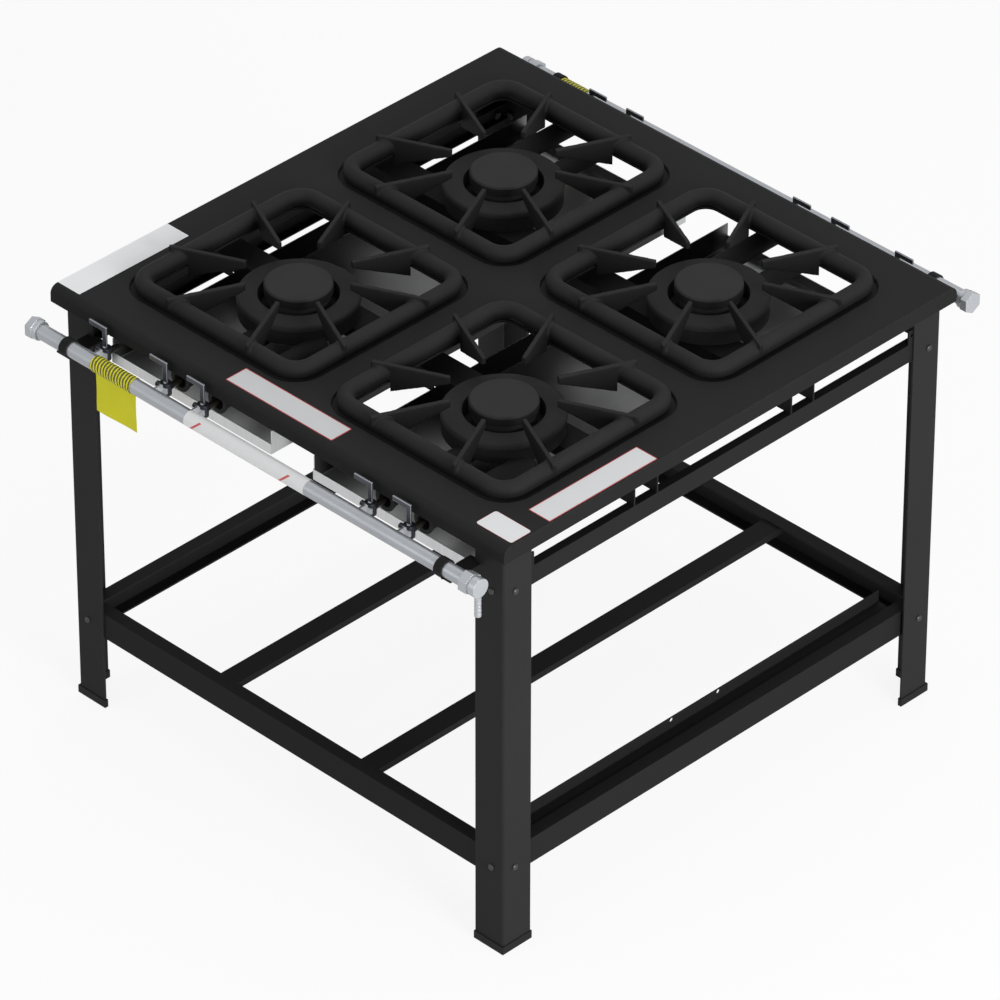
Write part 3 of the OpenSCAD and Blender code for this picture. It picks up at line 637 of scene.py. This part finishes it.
@dataclass(frozen=True)
class BandedWrap(Finish):
    """Plain white film wrapped around a pipe, with short slanted red bars near its ends."""

    bars: tuple[float, ...]
    axis_z: float
    bar_width: float = 0.0045
    bar_top: float = 0.0085
    slant: float = 1.1
    paper: Colour = (0.68, 0.685, 0.69)
    bar: Colour = (0.50, 0.07, 0.07)
    film: Pair = (120.0, 3.0)
    film_tones: Pair = (0.94, 1.0)

    def material(self) -> Material:
        """Builds the material.

        Returns:
            The material.
        """
        g = self.graph()
        x, _y, z = g.axes()
        up = z - self.axis_z
        along = x - up * self.slant
        film = g.noise(*self.film)
        base = g.tones(film, self.paper, self.film_tones)
        for place in self.bars:
            inked = ((along - place).size() < self.bar_width * 0.5) * (up < self.bar_top)
            base = g.mix(inked, base, self.bar)
        return g.finish(base, 0.38 + film.swing(0.1), 0.0, g.bump(film, 0.00002))


# Mesh helpers


def merged_copy(node: str) -> BMesh:
    """Copies a frame node's mesh with its doubles merged and its flats made whole.

    Args:
        node: the node's name.

    Returns:
        The copy.
    """
    bm = bmesh.new()
    bm.from_mesh(frame["nodes"][node].data)
    bmesh.ops.remove_doubles(bm, verts=bm.verts[:], dist=SAME_POINT)
    bmesh.ops.dissolve_limit(bm, angle_limit=math.radians(FLAT_ANGLE), verts=bm.verts[:],
                             edges=bm.edges[:], use_dissolve_boundaries=False)
    return bm


def sharper_than(angle: float) -> Pick:
    """Returns a test for edges whose faces meet at more than an angle, in degrees."""
    limit = math.radians(angle)
    return lambda edge: len(edge.link_faces) == 2 and edge.calc_face_angle(0.0) > limit


def break_edges(bm: BMesh, width: float, pick: Pick, segments: int = 2) -> None:
    """Rounds the edges that a test picks, and marks the new faces.

    Args:
        bm: the mesh.
        width: how far the edge is broken, in metres.
        pick: the test.
        segments: rows of faces around the edge.
    """
    layers = bm.faces.layers.float
    mark = layers.get("broken_edge") or layers.new("broken_edge")
    edges = [edge for edge in bm.edges if pick(edge)]
    if not edges:
        return
    done = bmesh.ops.bevel(bm, geom=edges, offset=width, offset_type="OFFSET", segments=segments,
                           profile=0.5, affect="EDGES", clamp_overlap=False, material=-1)
    for face in done["faces"]:
        face[mark] = 1.0


def mark_upward(bm: BMesh, smooth: bool = False) -> None:
    """Stores how far the surface faces up, from 0 to 1.

    Args:
        bm: the mesh.
        smooth: stores it at the vertices instead of on the faces.
    """
    bm.normal_update()
    items = bm.verts if smooth else bm.faces
    mark = items.layers.float.new("upward")
    for item in items:
        item[mark] = min(1.0, max(0.0, item.normal.z))


def open_ring(bm: BMesh, sides: int, radius: float,
              matrix: Matrix) -> list[BMEdge]:
    """Draws a circle without a face and returns its edges."""
    made = bmesh.ops.create_circle(bm, cap_ends=False, segments=sides, radius=radius, matrix=matrix)
    return list({edge for vert in made["verts"] for edge in vert.link_edges})


def push(bm: BMesh, loop: list[BMEdge],
         by: Vector) -> tuple[list[BMVert], list[BMEdge]]:
    """Draws a skin from a loop of edges to where a vector takes it.

    Args:
        bm: the mesh.
        loop: the edges.
        by: how far and which way.

    Returns:
        The new loop's vertices and its edges.
    """
    pushed = bmesh.ops.extrude_edge_only(bm, edges=loop)["geom"]
    verts = [item for item in pushed if isinstance(item, BMVert)]
    bmesh.ops.translate(bm, verts=verts, vec=by)
    return verts, [item for item in pushed if isinstance(item, BMEdge)
                   and all(vert in verts for vert in item.verts)]


def placed(name: str, data: bpy.types.ID) -> bpy.types.Object:
    """Makes an object in the scene.

    Args:
        name: its name.
        data: its mesh, light or camera.

    Returns:
        The object.
    """
    made = bpy.data.objects.new(name, data)
    bpy.context.scene.collection.objects.link(made)
    return made


def as_piece(bm: BMesh, name: str, finishes: Sequence[Material], body: str,
             replaces: Iterable[str] = (), weighted: bool = True) -> None:
    """Turns a mesh into a piece that rides on a body.

    Args:
        bm: the mesh, which is freed.
        name: the piece's name.
        finishes: its materials, by material index.
        body: the body it rides on.
        replaces: the nodes that it stands for.
        weighted: keeps broad faces flat in the shading.
    """
    mesh = bpy.data.meshes.new(name)
    bm.to_mesh(mesh)
    bm.free()
    for finish in finishes:
        mesh.materials.append(finish)
    mesh.shade_smooth()
    mesh.set_sharp_from_angle(angle=math.radians(SHARP_ANGLE))
    piece = placed(name, mesh)
    if weighted:
        modifier = piece.modifiers.new("flat faces", "WEIGHTED_NORMAL")
        modifier.keep_sharp = True
        modifier.weight = FLATTENING
    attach(piece, body)
    nodes = list(replaces)
    if nodes:
        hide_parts(*nodes)
    log.info("%s: %d faces, on %s", name, len(mesh.polygons), body)


def body_of(node: str) -> str:
    """Returns the body that a frame node belongs to."""
    return frame["nodes"][node]["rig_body"]


@dataclass
class Assembly:
    """What every sub-assembly shares: it dresses nodes by rounding their edges."""

    def dress(self, node: str, finish: Material, slot: str, edge: Edge,
              angle: float = 35.0) -> None:
        """Makes the finished piece that stands for one frame node.

        Args:
            node: the node.
            finish: the material.
            slot: the record's slot; not used.
            edge: how far its edges are broken.
            angle: the least angle of an edge that is broken, in degrees.
        """
        bm = merged_copy(node)
        break_edges(bm, edge.value, sharper_than(angle))
        mark_upward(bm)
        as_piece(bm, node + "_finished", [finish], body_of(node), [node])


# Sub-assemblies


@dataclass
class TopSheet:
    """The pressed top, whose recesses and openings have soft edges."""

    upper_z: float = 0.653
    recess_z: float = 0.648
    wall_from: float = 0.150
    wall_angle: float = 50.0
    rim_from: float = 0.37
    upper_radius: float = 0.0030
    lower_radius: float = 0.0018
    fold_angle: float = 60.0
    # Painted shade: the sheet's upright faces, such as the folded rim and the recess walls, are darker than
    # its top.
    finish: PowderCoat = PowderCoat("top_powder_coat", (0.0175, 0.0175, 0.0178), 0.60, 0.72)

    def recess_edge(self, level: float) -> Pick:
        """Returns a test for the edges of the recess walls at one level.

        Args:
            level: the level, in metres.

        Returns:
            The test.
        """
        def reach(spot: Vector) -> float:
            """Returns how far a point is from the middle of its recess."""
            return max(abs(abs(spot.x) - PITCH[0] / 2), abs(abs(spot.y) - PITCH[1] / 2))

        def test(edge: BMEdge) -> bool:
            """Tests for an edge at the level, inside the folded rim."""
            return sharper_than(self.wall_angle)(edge) and all(
                abs(spot.z - level) < SAME_LEVEL and max(abs(spot.x), abs(spot.y)) < self.rim_from
                and reach(spot) > self.wall_from for spot in (vert.co for vert in edge.verts))

        return test

    def mesh(self) -> BMesh:
        """Builds the sheet: wide press radii first, then the folded and cut edges.

        Returns:
            The mesh.
        """
        bm = merged_copy("top_sheet")
        break_edges(bm, self.upper_radius, self.recess_edge(self.upper_z), 4)
        break_edges(bm, self.lower_radius, self.recess_edge(self.recess_z), 3)
        break_edges(bm, Edge.BAR.value, sharper_than(self.fold_angle))
        mark_upward(bm)
        return bm

    def build(self) -> None:
        """Makes the piece."""
        as_piece(self.mesh(), "top_sheet_finished", [self.finish.material()], "stand",
                 ["top_sheet"])


@dataclass
class AngleFrame(Assembly):
    """Legs, rails, shelf bars, foot caps and bolts."""

    leg: PowderCoat = PowderCoat("frame_powder_coat", (0.0185, 0.0185, 0.0188), 0.52)
    # Painted shade: the rails are coated darker than the legs, as shade falls on them under the stand; their
    # upright faces are made lighter than their tops.
    rail: PowderCoat = PowderCoat("rail_powder_coat", (0.0088, 0.0088, 0.0090), 0.58, 1.45)
    foot: MouldedPlastic = MouldedPlastic("foot_plastic", (0.008, 0.008, 0.008), 0.55)
    bolt: PlatedSteel = PlatedSteel("blackened_bolt", (0.040, 0.040, 0.042), 0.5, 0.42, (1, 1, 1))
    rails: tuple[str, ...] = (
        "lower_rail_front", "lower_rail_back", "lower_rail_left", "lower_rail_right",
        "upper_rail_left", "upper_rail_right", "shelf_bar_left", "shelf_bar_right", "shelf_edge_strip")

    def build(self) -> None:
        """Makes the pieces."""
        legs = ["leg_" + corner for corner in CORNERS]
        for nodes, coat in ((legs, self.leg.material()), (self.rails, self.rail.material())):
            for node in nodes:
                self.dress(node, coat, "frame_black", Edge.SHEET)
        self.dress("foot_caps", self.foot.material(), "foot_plastic", Edge.SHEET)
        self.dress("bolts", self.bolt.material(), "bolt_steel", Edge.SHEET, 50.0)


@dataclass
class Burners(Assembly):
    """Burner castings, crown rings, centre caps and the channels that carry them."""

    # Painted light and shade: the sides of the casting and the crown are made lighter than their tops, and
    # the cap's side darker.
    casting: CastIron = CastIron("burner_casting", (0.0185, 0.0185, 0.0185), 0.70, upright=1.25)
    crown: CastIron = CastIron("crown_casting", (0.0240, 0.0240, 0.0240), 0.62, 0.00006, True, 1.45)
    cap: CastIron = CastIron("cap_casting", (0.0290, 0.0290, 0.0290), 0.62, 0.00006, True, 0.35)
    paint: PowderCoat = PowderCoat("channel_paint", (0.0120, 0.0120, 0.0125), 0.55)

    def build(self) -> None:
        """Makes the pieces."""
        casting, crown, cap = self.casting.material(), self.crown.material(), self.cap.material()
        paint = self.paint.material()
        for corner in CORNERS:
            self.dress("burner_" + corner, casting, "cast_iron", Edge.BAR, 50.0)
            self.dress("crown_" + corner, crown, "crown_iron", Edge.BAR)
            self.dress("cap_" + corner, cap, "crown_iron", Edge.BAR)
        for node in ("burner_channel_front", "burner_channel_back", "tray_hangers"):
            self.dress(node, paint, "bar_black", Edge.SHEET)
        self.dress("pipe_brackets", paint, "bar_black", Edge.SHEET, 50.0)


@dataclass
class Grates:
    """Four cast grates: a rounded square ring with eight fingers, cast in one."""

    ring_half: float = 0.1505
    ring_r: float = 0.012
    ring_corner: float = 0.029
    ring_z: float = 0.659
    seat_z: float = 0.648
    opening: float = 0.142
    finger_t: float = 0.0062
    finger_angle: float = 24.6
    tip_r: float = 0.073
    tip_h: float = 0.0105
    root_h: float = 0.041
    root_gap: float = 0.001
    over: float = 0.0135
    top_z: float = 0.675
    seam: float = 1e-5
    voxel: float = 0.0015
    # Painted shade: the grate's sides are darker than its top.
    finish: CastIron = CastIron("grate_casting", (0.0215, 0.0215, 0.0218), 0.64, upright=0.46)

    def ring(self, bm: BMesh) -> None:
        """Draws the ring as one closed tube: four straight runs and four bends.

        Args:
            bm: the mesh to draw in.
        """
        run = self.ring_half - self.ring_corner
        start = (Matrix.Translation((self.ring_half, -run, self.ring_z))
                 @ Matrix.Rotation(math.radians(90), 4, "X"))
        loop = open_ring(bm, 20, self.ring_r, start)
        for quarter in range(4):
            turn = Matrix.Rotation(math.radians(90 * quarter), 3, "Z")
            verts, loop = push(bm, loop, turn @ Vector((0.0, 2.0 * run, 0.0)))
            bent = bmesh.ops.spin(bm, geom=verts + loop, cent=turn @ Vector((run, run, self.ring_z)),
                                  axis=(0, 0, 1), angle=math.radians(90), steps=8, use_duplicate=False)
            loop = [item for item in bent["geom_last"] if isinstance(item, BMEdge)]
        bmesh.ops.remove_doubles(bm, verts=bm.verts[:], dist=self.seam)
        bmesh.ops.recalc_face_normals(bm, faces=bm.faces[:])

    def finger(self, bm: BMesh, angle: float) -> None:
        """Draws one finger as a thick plate whose root reaches down into the opening.

        Args:
            bm: the mesh to draw in.
            angle: its direction from +X, in degrees.
        """
        turn = math.radians(self.finger_angle)
        outer, middle, edge = (part / math.cos(turn) for part in (
            self.ring_half + self.over, self.ring_half, self.opening - self.root_gap))
        root = edge - self.finger_t / 2 * math.tan(turn)
        inside = self.ring_z - self.ring_r / 2
        outline = ((self.tip_r, self.top_z - self.tip_h), (root, self.top_z - self.root_h),
                   (root, inside), (middle, inside), (outer, self.ring_z),
                   (outer, self.top_z), (self.tip_r, self.top_z))
        verts = [bm.verts.new((x, -self.finger_t / 2, z)) for x, z in outline]
        face = bm.faces.new(verts)
        pushed = bmesh.ops.extrude_face_region(bm, geom=[face], use_keep_orig=True)["geom"]
        moved = [item for item in pushed if isinstance(item, BMVert)]
        bmesh.ops.translate(bm, verts=moved, vec=(0.0, self.finger_t, 0.0))
        bmesh.ops.rotate(bm, verts=verts + moved, cent=(0, 0, 0),
                         matrix=Matrix.Rotation(math.radians(angle), 3, "Z"))

    def casting(self) -> bpy.types.Mesh:
        """Joins ring and fingers in one skin with cast fillets.

        Returns:
            The mesh of one grate about the origin.
        """
        bm = bmesh.new()
        self.ring(bm)
        for quarter in range(4):
            for side in (-1, 1):
                self.finger(bm, 90.0 * quarter + side * self.finger_angle)
        bmesh.ops.recalc_face_normals(bm, faces=bm.faces[:])
        rough = bpy.data.meshes.new("grate_rough")
        bm.to_mesh(rough)
        bm.free()
        holder = placed("grate_rough", rough)
        skin = holder.modifiers.new("skin", "REMESH")
        skin.mode, skin.voxel_size = "VOXEL", self.voxel
        bpy.context.view_layer.update()
        mesh = bpy.data.meshes.new_from_object(holder.evaluated_get(bpy.context.evaluated_depsgraph_get()))
        bpy.data.objects.remove(holder)
        bpy.data.meshes.remove(rough)
        return mesh

    def build(self) -> None:
        """Makes the four pieces from one casting."""
        finish = self.finish.material()
        cast = self.casting()
        for name, (sx, sy) in CORNERS.items():
            bm = bmesh.new()
            bm.from_mesh(cast)
            bmesh.ops.smooth_vert(bm, verts=bm.verts[:], factor=0.5, use_axis_x=True,
                                  use_axis_y=True, use_axis_z=True)
            for vert in bm.verts:
                over_sheet = max(abs(vert.co.x), abs(vert.co.y)) > self.opening
                floor = self.seat_z if over_sheet else self.top_z - self.root_h
                vert.co.z = min(max(vert.co.z, floor), self.top_z)
            middle = (sx * PITCH[0] / 2, sy * PITCH[1] / 2, 0.0)
            bmesh.ops.translate(bm, verts=bm.verts[:], vec=middle)
            mark_upward(bm, smooth=True)
            as_piece(bm, f"grate_{name}_casting", [finish], f"grate_{name}",
                     [f"grate_{name}"], weighted=False)
        bpy.data.meshes.remove(cast)


@dataclass
class DripTrays:
    """Two long galvanised trays."""

    finish: GalvanisedSheet = GalvanisedSheet("galvanised_tray", (0.615, 0.620, 0.625))
    floor_mark: float = 0.6
    faces_up: float = 0.7
    faces_along: float = 0.5
    slack: float = 1e-6

    def hollow(self, face: bmesh.types.BMFace) -> float:
        """Measures how hollow a face lies.

        Args:
            face: the face.

        Returns:
            1 on an inner wall, about half on the floor and 0 outside.
        """
        spot, facing = face.calc_center_median(), face.normal
        if facing.z > self.faces_up:
            return self.floor_mark
        inward_x = facing.x * (abs(spot.x) - PITCH[0] / 2) * spot.x < -self.slack
        inward_y = facing.y * spot.y < -self.slack
        inner_side = inward_x and abs(facing.x) > self.faces_along
        inner_end = inward_y and abs(facing.y) > self.faces_along
        return 1.0 if inner_side or inner_end else 0.0

    def build(self) -> None:
        """Makes the pieces."""
        sheet = self.finish.material()
        for side in ("left", "right"):
            node = f"drip_tray_{side}"
            bm = merged_copy(node)
            break_edges(bm, Edge.SHEET.value, sharper_than(35.0))
            # The hollow mark steers where the tray's painted shade is strongest.
            mark = bm.faces.layers.float.new("hollow")
            bm.normal_update()
            for face in bm.faces:
                face[mark] = self.hollow(face)
            as_piece(bm, node + "_finished", [sheet], body_of(node), [node])


@dataclass
class GasLine(Assembly):
    """Both gas pipes with their fittings, cocks, injectors and levers."""

    plated_from: float = 0.4325
    pipe: PlatedSteel = PlatedSteel("zinc_pipe", (0.37, 0.385, 0.41), 0.70, 0.34)
    fitting: PlatedSteel = PlatedSteel("zinc_fitting", (0.42, 0.435, 0.46), 0.60, 0.36, (1, 1, 1), 0.06)
    cock: PlatedSteel = PlatedSteel("dark_cock", (0.030, 0.032, 0.040), 0.6, 0.30, (1, 1, 1))
    # The levers' broken edges carry a painted highlight.
    lever: PlatedSteel = PlatedSteel("nickel_lever", (0.100, 0.104, 0.118), 0.85, 0.34, (1, 1, 0.2),
                                     edge_highlight=0.55)
    brass: PlatedSteel = PlatedSteel("brass_injector", (0.030, 0.026, 0.019), 0.7, 0.45, (1, 1, 1), 0.06)

    def cocks(self, side: Side, dark: Material, bright: Material) -> None:
        """Makes the cocks of one side, whose hexagons at the pipe are bright.

        Args:
            side: the side.
            dark: finish of the bodies.
            bright: finish of the hexagons.
        """
        node = f"gas_cocks_{side.name.lower()}"
        bm = merged_copy(node)
        break_edges(bm, Edge.SHEET.value, sharper_than(50.0))
        for face in bm.faces:
            if abs(face.calc_center_median().y) > self.plated_from:
                face.material_index = 1
        as_piece(bm, node + "_finished", [dark, bright], "stand", [node])

    def build(self) -> None:
        """Makes the pieces."""
        pipe, fitting, cock = self.pipe.material(), self.fitting.material(), self.cock.material()
        lever, brass = self.lever.material(), self.brass.material()
        for side in Side:
            name = side.name.lower()
            self.dress(f"manifold_pipe_{name}", pipe, "zinc_steel", Edge.SHEET, 50.0)
            self.dress(f"inlet_{name}", fitting, "zinc_steel", Edge.SHEET, 50.0)
            self.cocks(side, cock, fitting)
            for number in range(1, 6):
                self.dress(f"lever_{name}_{number}", lever, "lever_steel", Edge.TURNED)
        self.dress("pipe_end_caps", fitting, "zinc_steel", Edge.TURNED, 50.0)
        self.dress("injectors", brass, "brass", Edge.SHEET, 50.0)


@dataclass
class Sticker:
    """One flat rectangular sticker on the top sheet."""

    name: str
    low: Pair
    high: Pair
    corner: float = 0.0012
    line: float = 0.0012
    # Painted light: each sticker's paper is made lighter or darker by how light falls on it.
    painted_light_tone: float = 1.0
    lift: float = 0.65302
    thick: float = 0.0002

    def build(self) -> None:
        """Makes the piece: a thin plate with rounded corners."""
        centre = tuple((a + b) / 2 for a, b in zip(self.low, self.high))
        half = tuple((b - a) / 2 for a, b in zip(self.low, self.high))
        bm = bmesh.new()
        bmesh.ops.create_cube(bm, size=1.0, matrix=Matrix.Translation((*centre, self.lift + self.thick / 2))
                              @ Matrix.Diagonal((2 * half[0], 2 * half[1], self.thick, 1.0)))
        upright = [edge for edge in bm.edges if abs(edge.verts[0].co.z - edge.verts[1].co.z) > self.thick / 2]
        bmesh.ops.bevel(bm, geom=upright, offset=self.corner, offset_type="OFFSET", segments=4,
                        profile=0.5, affect="EDGES", material=-1)
        paper = StickerPaper(self.name + "_paper", centre, half, shade(StickerPaper.paper, self.painted_light_tone),
                             line_width=self.line)
        as_piece(bm, self.name, [paper.material()], "stand")


@dataclass
class Wrapping:
    """What is wound around the pipes: the white band and the two yellow tags."""

    pipe_y: float = 0.450
    pipe_z: float = 0.608
    pipe_r: float = 0.01065
    band: Pair = (-0.117, 0.102)
    bars: Pair = (-0.0985, 0.0640)
    band_t: float = 0.0002
    front_tag: Pair = (-0.292, -0.218)
    back_tag: Pair = (-0.3365, -0.288)
    flap_low: float = 0.535
    flap_gap: float = 0.0095
    sag: float = 0.0009
    crease: float = 0.0005
    film_t: float = 0.0008
    rib_pitch: float = 0.0052
    rib_depth: float = 0.0005
    yellow: Colour = (0.56, 0.54, 0.012)

    def sleeve(self, bm: BMesh, ends: Pair, y: float, outer: float,
               rows: int = 1) -> None:
        """Draws a thin sleeve around a pipe.

        Args:
            bm: the mesh to draw in.
            ends: where it starts and ends along X.
            y: the pipe's place.
            outer: the sleeve's outer radius.
            rows: rows of faces along it.
        """
        lie = Matrix.Translation((ends[0], y, self.pipe_z)) @ Matrix.Rotation(math.radians(90), 4, "Y")
        loop = open_ring(bm, 48, outer, lie)
        step = Vector(((ends[1] - ends[0]) / rows, 0.0, 0.0))
        for _row in range(rows):
            _verts, loop = push(bm, loop, step)
        bmesh.ops.recalc_face_normals(bm, faces=bm.faces[:])

    def ribbed(self, bm: BMesh, y: float) -> None:
        """Pushes a sleeve's skin in and out along a screw line.

        Args:
            bm: the sleeve.
            y: the pipe's place.
        """
        for vert in bm.verts:
            out = Vector((0.0, vert.co.y - y, vert.co.z - self.pipe_z))
            turn = math.atan2(out.z, abs(vert.co.y) - self.pipe_y)
            wave = math.sin(vert.co.x * 2.0 * math.pi / self.rib_pitch + 2.0 * turn)
            vert.co += out.normalized() * (wave - 1.0) * 0.5 * self.rib_depth

    def tag(self, name: str, ends: Pair, side: Side, film: Material) -> None:
        """Makes the wound part of one tag.

        Args:
            name: the piece's name.
            ends: where it starts and ends along X.
            side: the pipe it is on.
            film: its finish.
        """
        y = side.value * self.pipe_y
        rows = round((ends[1] - ends[0]) / self.rib_pitch * 8)
        bm = bmesh.new()
        self.sleeve(bm, ends, y, self.pipe_r + self.film_t, rows)
        self.ribbed(bm, y)
        bmesh.ops.solidify(bm, geom=bm.faces[:], thickness=self.film_t * 0.5)
        as_piece(bm, name, [film], "stand", weighted=False)

    def flap(self, finish: Material) -> None:
        """Makes the hanging part of the front tag: a film with a soft sag and crease.

        Args:
            finish: its finish.
        """
        low, high = self.front_tag
        wide, tall = (high - low) / 2, (self.pipe_z - self.flap_gap - self.flap_low) / 2
        bm = bmesh.new()
        stand = Matrix.Translation(((low + high) / 2, -self.pipe_y, self.flap_low + tall)) @ Matrix.Rotation(
            math.radians(90), 4, "X") @ Matrix.Diagonal((wide, tall, 1.0, 1.0))
        bmesh.ops.create_grid(bm, x_segments=14, y_segments=12, size=1.0, matrix=stand)
        for vert in bm.verts:
            across = (vert.co.x - low) / (high - low) - 0.5
            down = (self.pipe_z - vert.co.z) / (self.pipe_z - self.flap_low)
            vert.co.y += (self.sag * math.sin(across * 5.0) * down
                          + self.crease * math.sin(down * 9.0) * across)
        bmesh.ops.recalc_face_normals(bm, faces=bm.faces[:])
        bmesh.ops.solidify(bm, geom=bm.faces[:], thickness=self.film_t * 0.5)
        as_piece(bm, "front_tag_flap", [finish], "stand", ["hang_tags"], weighted=False)

    def build(self) -> None:
        """Makes the pieces."""
        for name, ends, side in (("front_tag_wrap", self.front_tag, Side.FRONT),
                                 ("back_tag_wrap", self.back_tag, Side.BACK)):
            # The second colour is the painted shade between the ribs.
            film = RibbedFilm(name + "_film", self.yellow, (0.060, 0.056, 0.010), self.rib_pitch,
                              self.pipe_y, self.pipe_z)
            self.tag(name, ends, side, film.material())
        self.flap(MouldedPlastic("flap_film", self.yellow, 0.46).material())
        bm = bmesh.new()
        self.sleeve(bm, self.band, -self.pipe_y, self.pipe_r + self.band_t)
        bmesh.ops.solidify(bm, geom=bm.faces[:], thickness=self.band_t * 0.5)
        paper = BandedWrap("band_film", self.bars, self.pipe_z)
        as_piece(bm, "pipe_band", [paper.material()], "stand", weighted=False)


@dataclass
class Labels:
    """Blank stickers on the top sheet."""

    stickers: tuple[Sticker, ...] = (
        # The sticker tones below are painted light.
        Sticker("sticker_left", (-0.4146, -0.402), (-0.3735, -0.2075), line=0.0, painted_light_tone=1.25),
        Sticker("sticker_front", (-0.099, -0.402), (0.094, -0.366), painted_light_tone=0.86),
        Sticker("sticker_right", (0.375, -0.333), (0.412, -0.140)),
        Sticker("sticker_corner", (0.348, -0.3995), (0.411, -0.363), corner=0.005, line=0.0004, painted_light_tone=1.1))

    def build(self) -> None:
        """Makes the pieces."""
        for sticker in self.stickers:
            sticker.build()


@dataclass
class Lamp:
    """One soft lamp."""

    name: str
    place: Triple
    size: float
    power: float
    aim: Triple = (0.0, 0.0, 0.4)

    def build(self) -> None:
        """Hangs the lamp and turns it to its aim."""
        light = bpy.data.lights.new(self.name, "AREA")
        light.shape, light.size, light.energy = "DISK", self.size, self.power
        lamp = placed(self.name, light)
        lamp.location = self.place
        lamp.rotation_euler = (Vector(self.aim) - Vector(self.place)).to_track_quat("-Z", "Y").to_euler()


@dataclass
class Studio:
    """Floor, light and camera."""

    azimuth: float = 45.1387
    elevation: float = 35.2707
    roll: float = 0.0786
    place: Triple = (6.17597, -6.21227, 6.50909)
    lens: float = 293.04
    ambient: float = 0.50
    floor_white: float = 0.88
    lamps: tuple[Lamp, ...] = (
        Lamp("key", (5.0, -0.9, 1.7), 2.6, 265.0),
        Lamp("front_fill", (-1.2, -4.8, 2.2), 3.2, 39.0),
        Lamp("overhead", (-0.4, 1.2, 4.6), 3.5, 34.0))

    def camera(self) -> None:
        """Sets the camera."""
        az, el, roll = (math.radians(a) for a in (self.azimuth, self.elevation, self.roll))
        back = Vector((math.cos(el) * math.cos(az), -math.cos(el) * math.sin(az), math.sin(el)))
        right = Vector((math.sin(az), math.cos(az), 0.0))
        up = back.cross(right)
        right, up = (math.cos(roll) * right + math.sin(roll) * up,
                     math.cos(roll) * up - math.sin(roll) * right)
        data = bpy.data.cameras.new("camera")
        data.sensor_width, data.lens, data.clip_end = 36.0, self.lens, 100.0
        camera = placed("camera", data)
        turn = Matrix((right, up, back)).transposed().to_4x4()
        camera.matrix_world = Matrix.Translation(self.place) @ turn
        bpy.context.scene.camera = camera

    def world(self) -> None:
        """Sets a plain pale surround that shows white and lights softly."""
        g = Graph(bpy.data.worlds.new("surround"))
        seen, mirrored, through = g.rays()
        shown = seen.at_least(mirrored).at_least(through)
        strength = self.ambient + shown * (1.0 - self.ambient)
        glow = g.add("ShaderNodeBackground", {}, {"Color": (1.0, 1.0, 1.0, 1.0), "Strength": strength})
        g.node("ShaderNodeOutputWorld", {}, {"Surface": glow})
        bpy.context.scene.world = g.holder

    def floor(self) -> None:
        """Lays the pale floor, which shows white and keeps the stand's shadow."""
        g = Graph(bpy.data.materials.new("pale_floor"))
        seen, mirrored, through = g.rays()
        grain = g.noise(9.0, 3.0)
        colour = g.mix(grain, (0.86, 0.86, 0.86), (0.88, 0.88, 0.88))
        glow = g.add("ShaderNodeEmission", {}, {"Color": (1, 1, 1, 1), "Strength": 1.0})
        matt = g.add("ShaderNodeBsdfDiffuse", {}, {"Color": colour})
        share = (seen * self.floor_white).at_least(mirrored * 0.5).at_least(through * 0.5)
        both = g.add("ShaderNodeMixShader", {}, {0: share, 1: matt, 2: glow})
        g.node("ShaderNodeOutputMaterial", {}, {"Surface": both})
        bm = bmesh.new()
        bmesh.ops.create_grid(bm, x_segments=1, y_segments=1, size=40.0)
        mesh = bpy.data.meshes.new("floor")
        bm.to_mesh(mesh)
        bm.free()
        mesh.materials.append(g.holder)
        floor = placed("floor", mesh)

    def build(self) -> None:
        """Sets the whole studio."""
        self.camera()
        self.world()
        self.floor()
        for lamp in self.lamps:
            lamp.build()
        bpy.context.scene.view_settings.view_transform = "Standard"


def main() -> None:
    """Builds the studio and every sub-assembly."""
    for part in (Studio(), TopSheet(), AngleFrame(), Burners(), Grates(), DripTrays(), GasLine(),
                 Wrapping(), Labels()):
        part.build()
        log.info("built %s", type(part).__name__)
    bpy.context.view_layer.update()


if __name__ == "__main__":
    main()
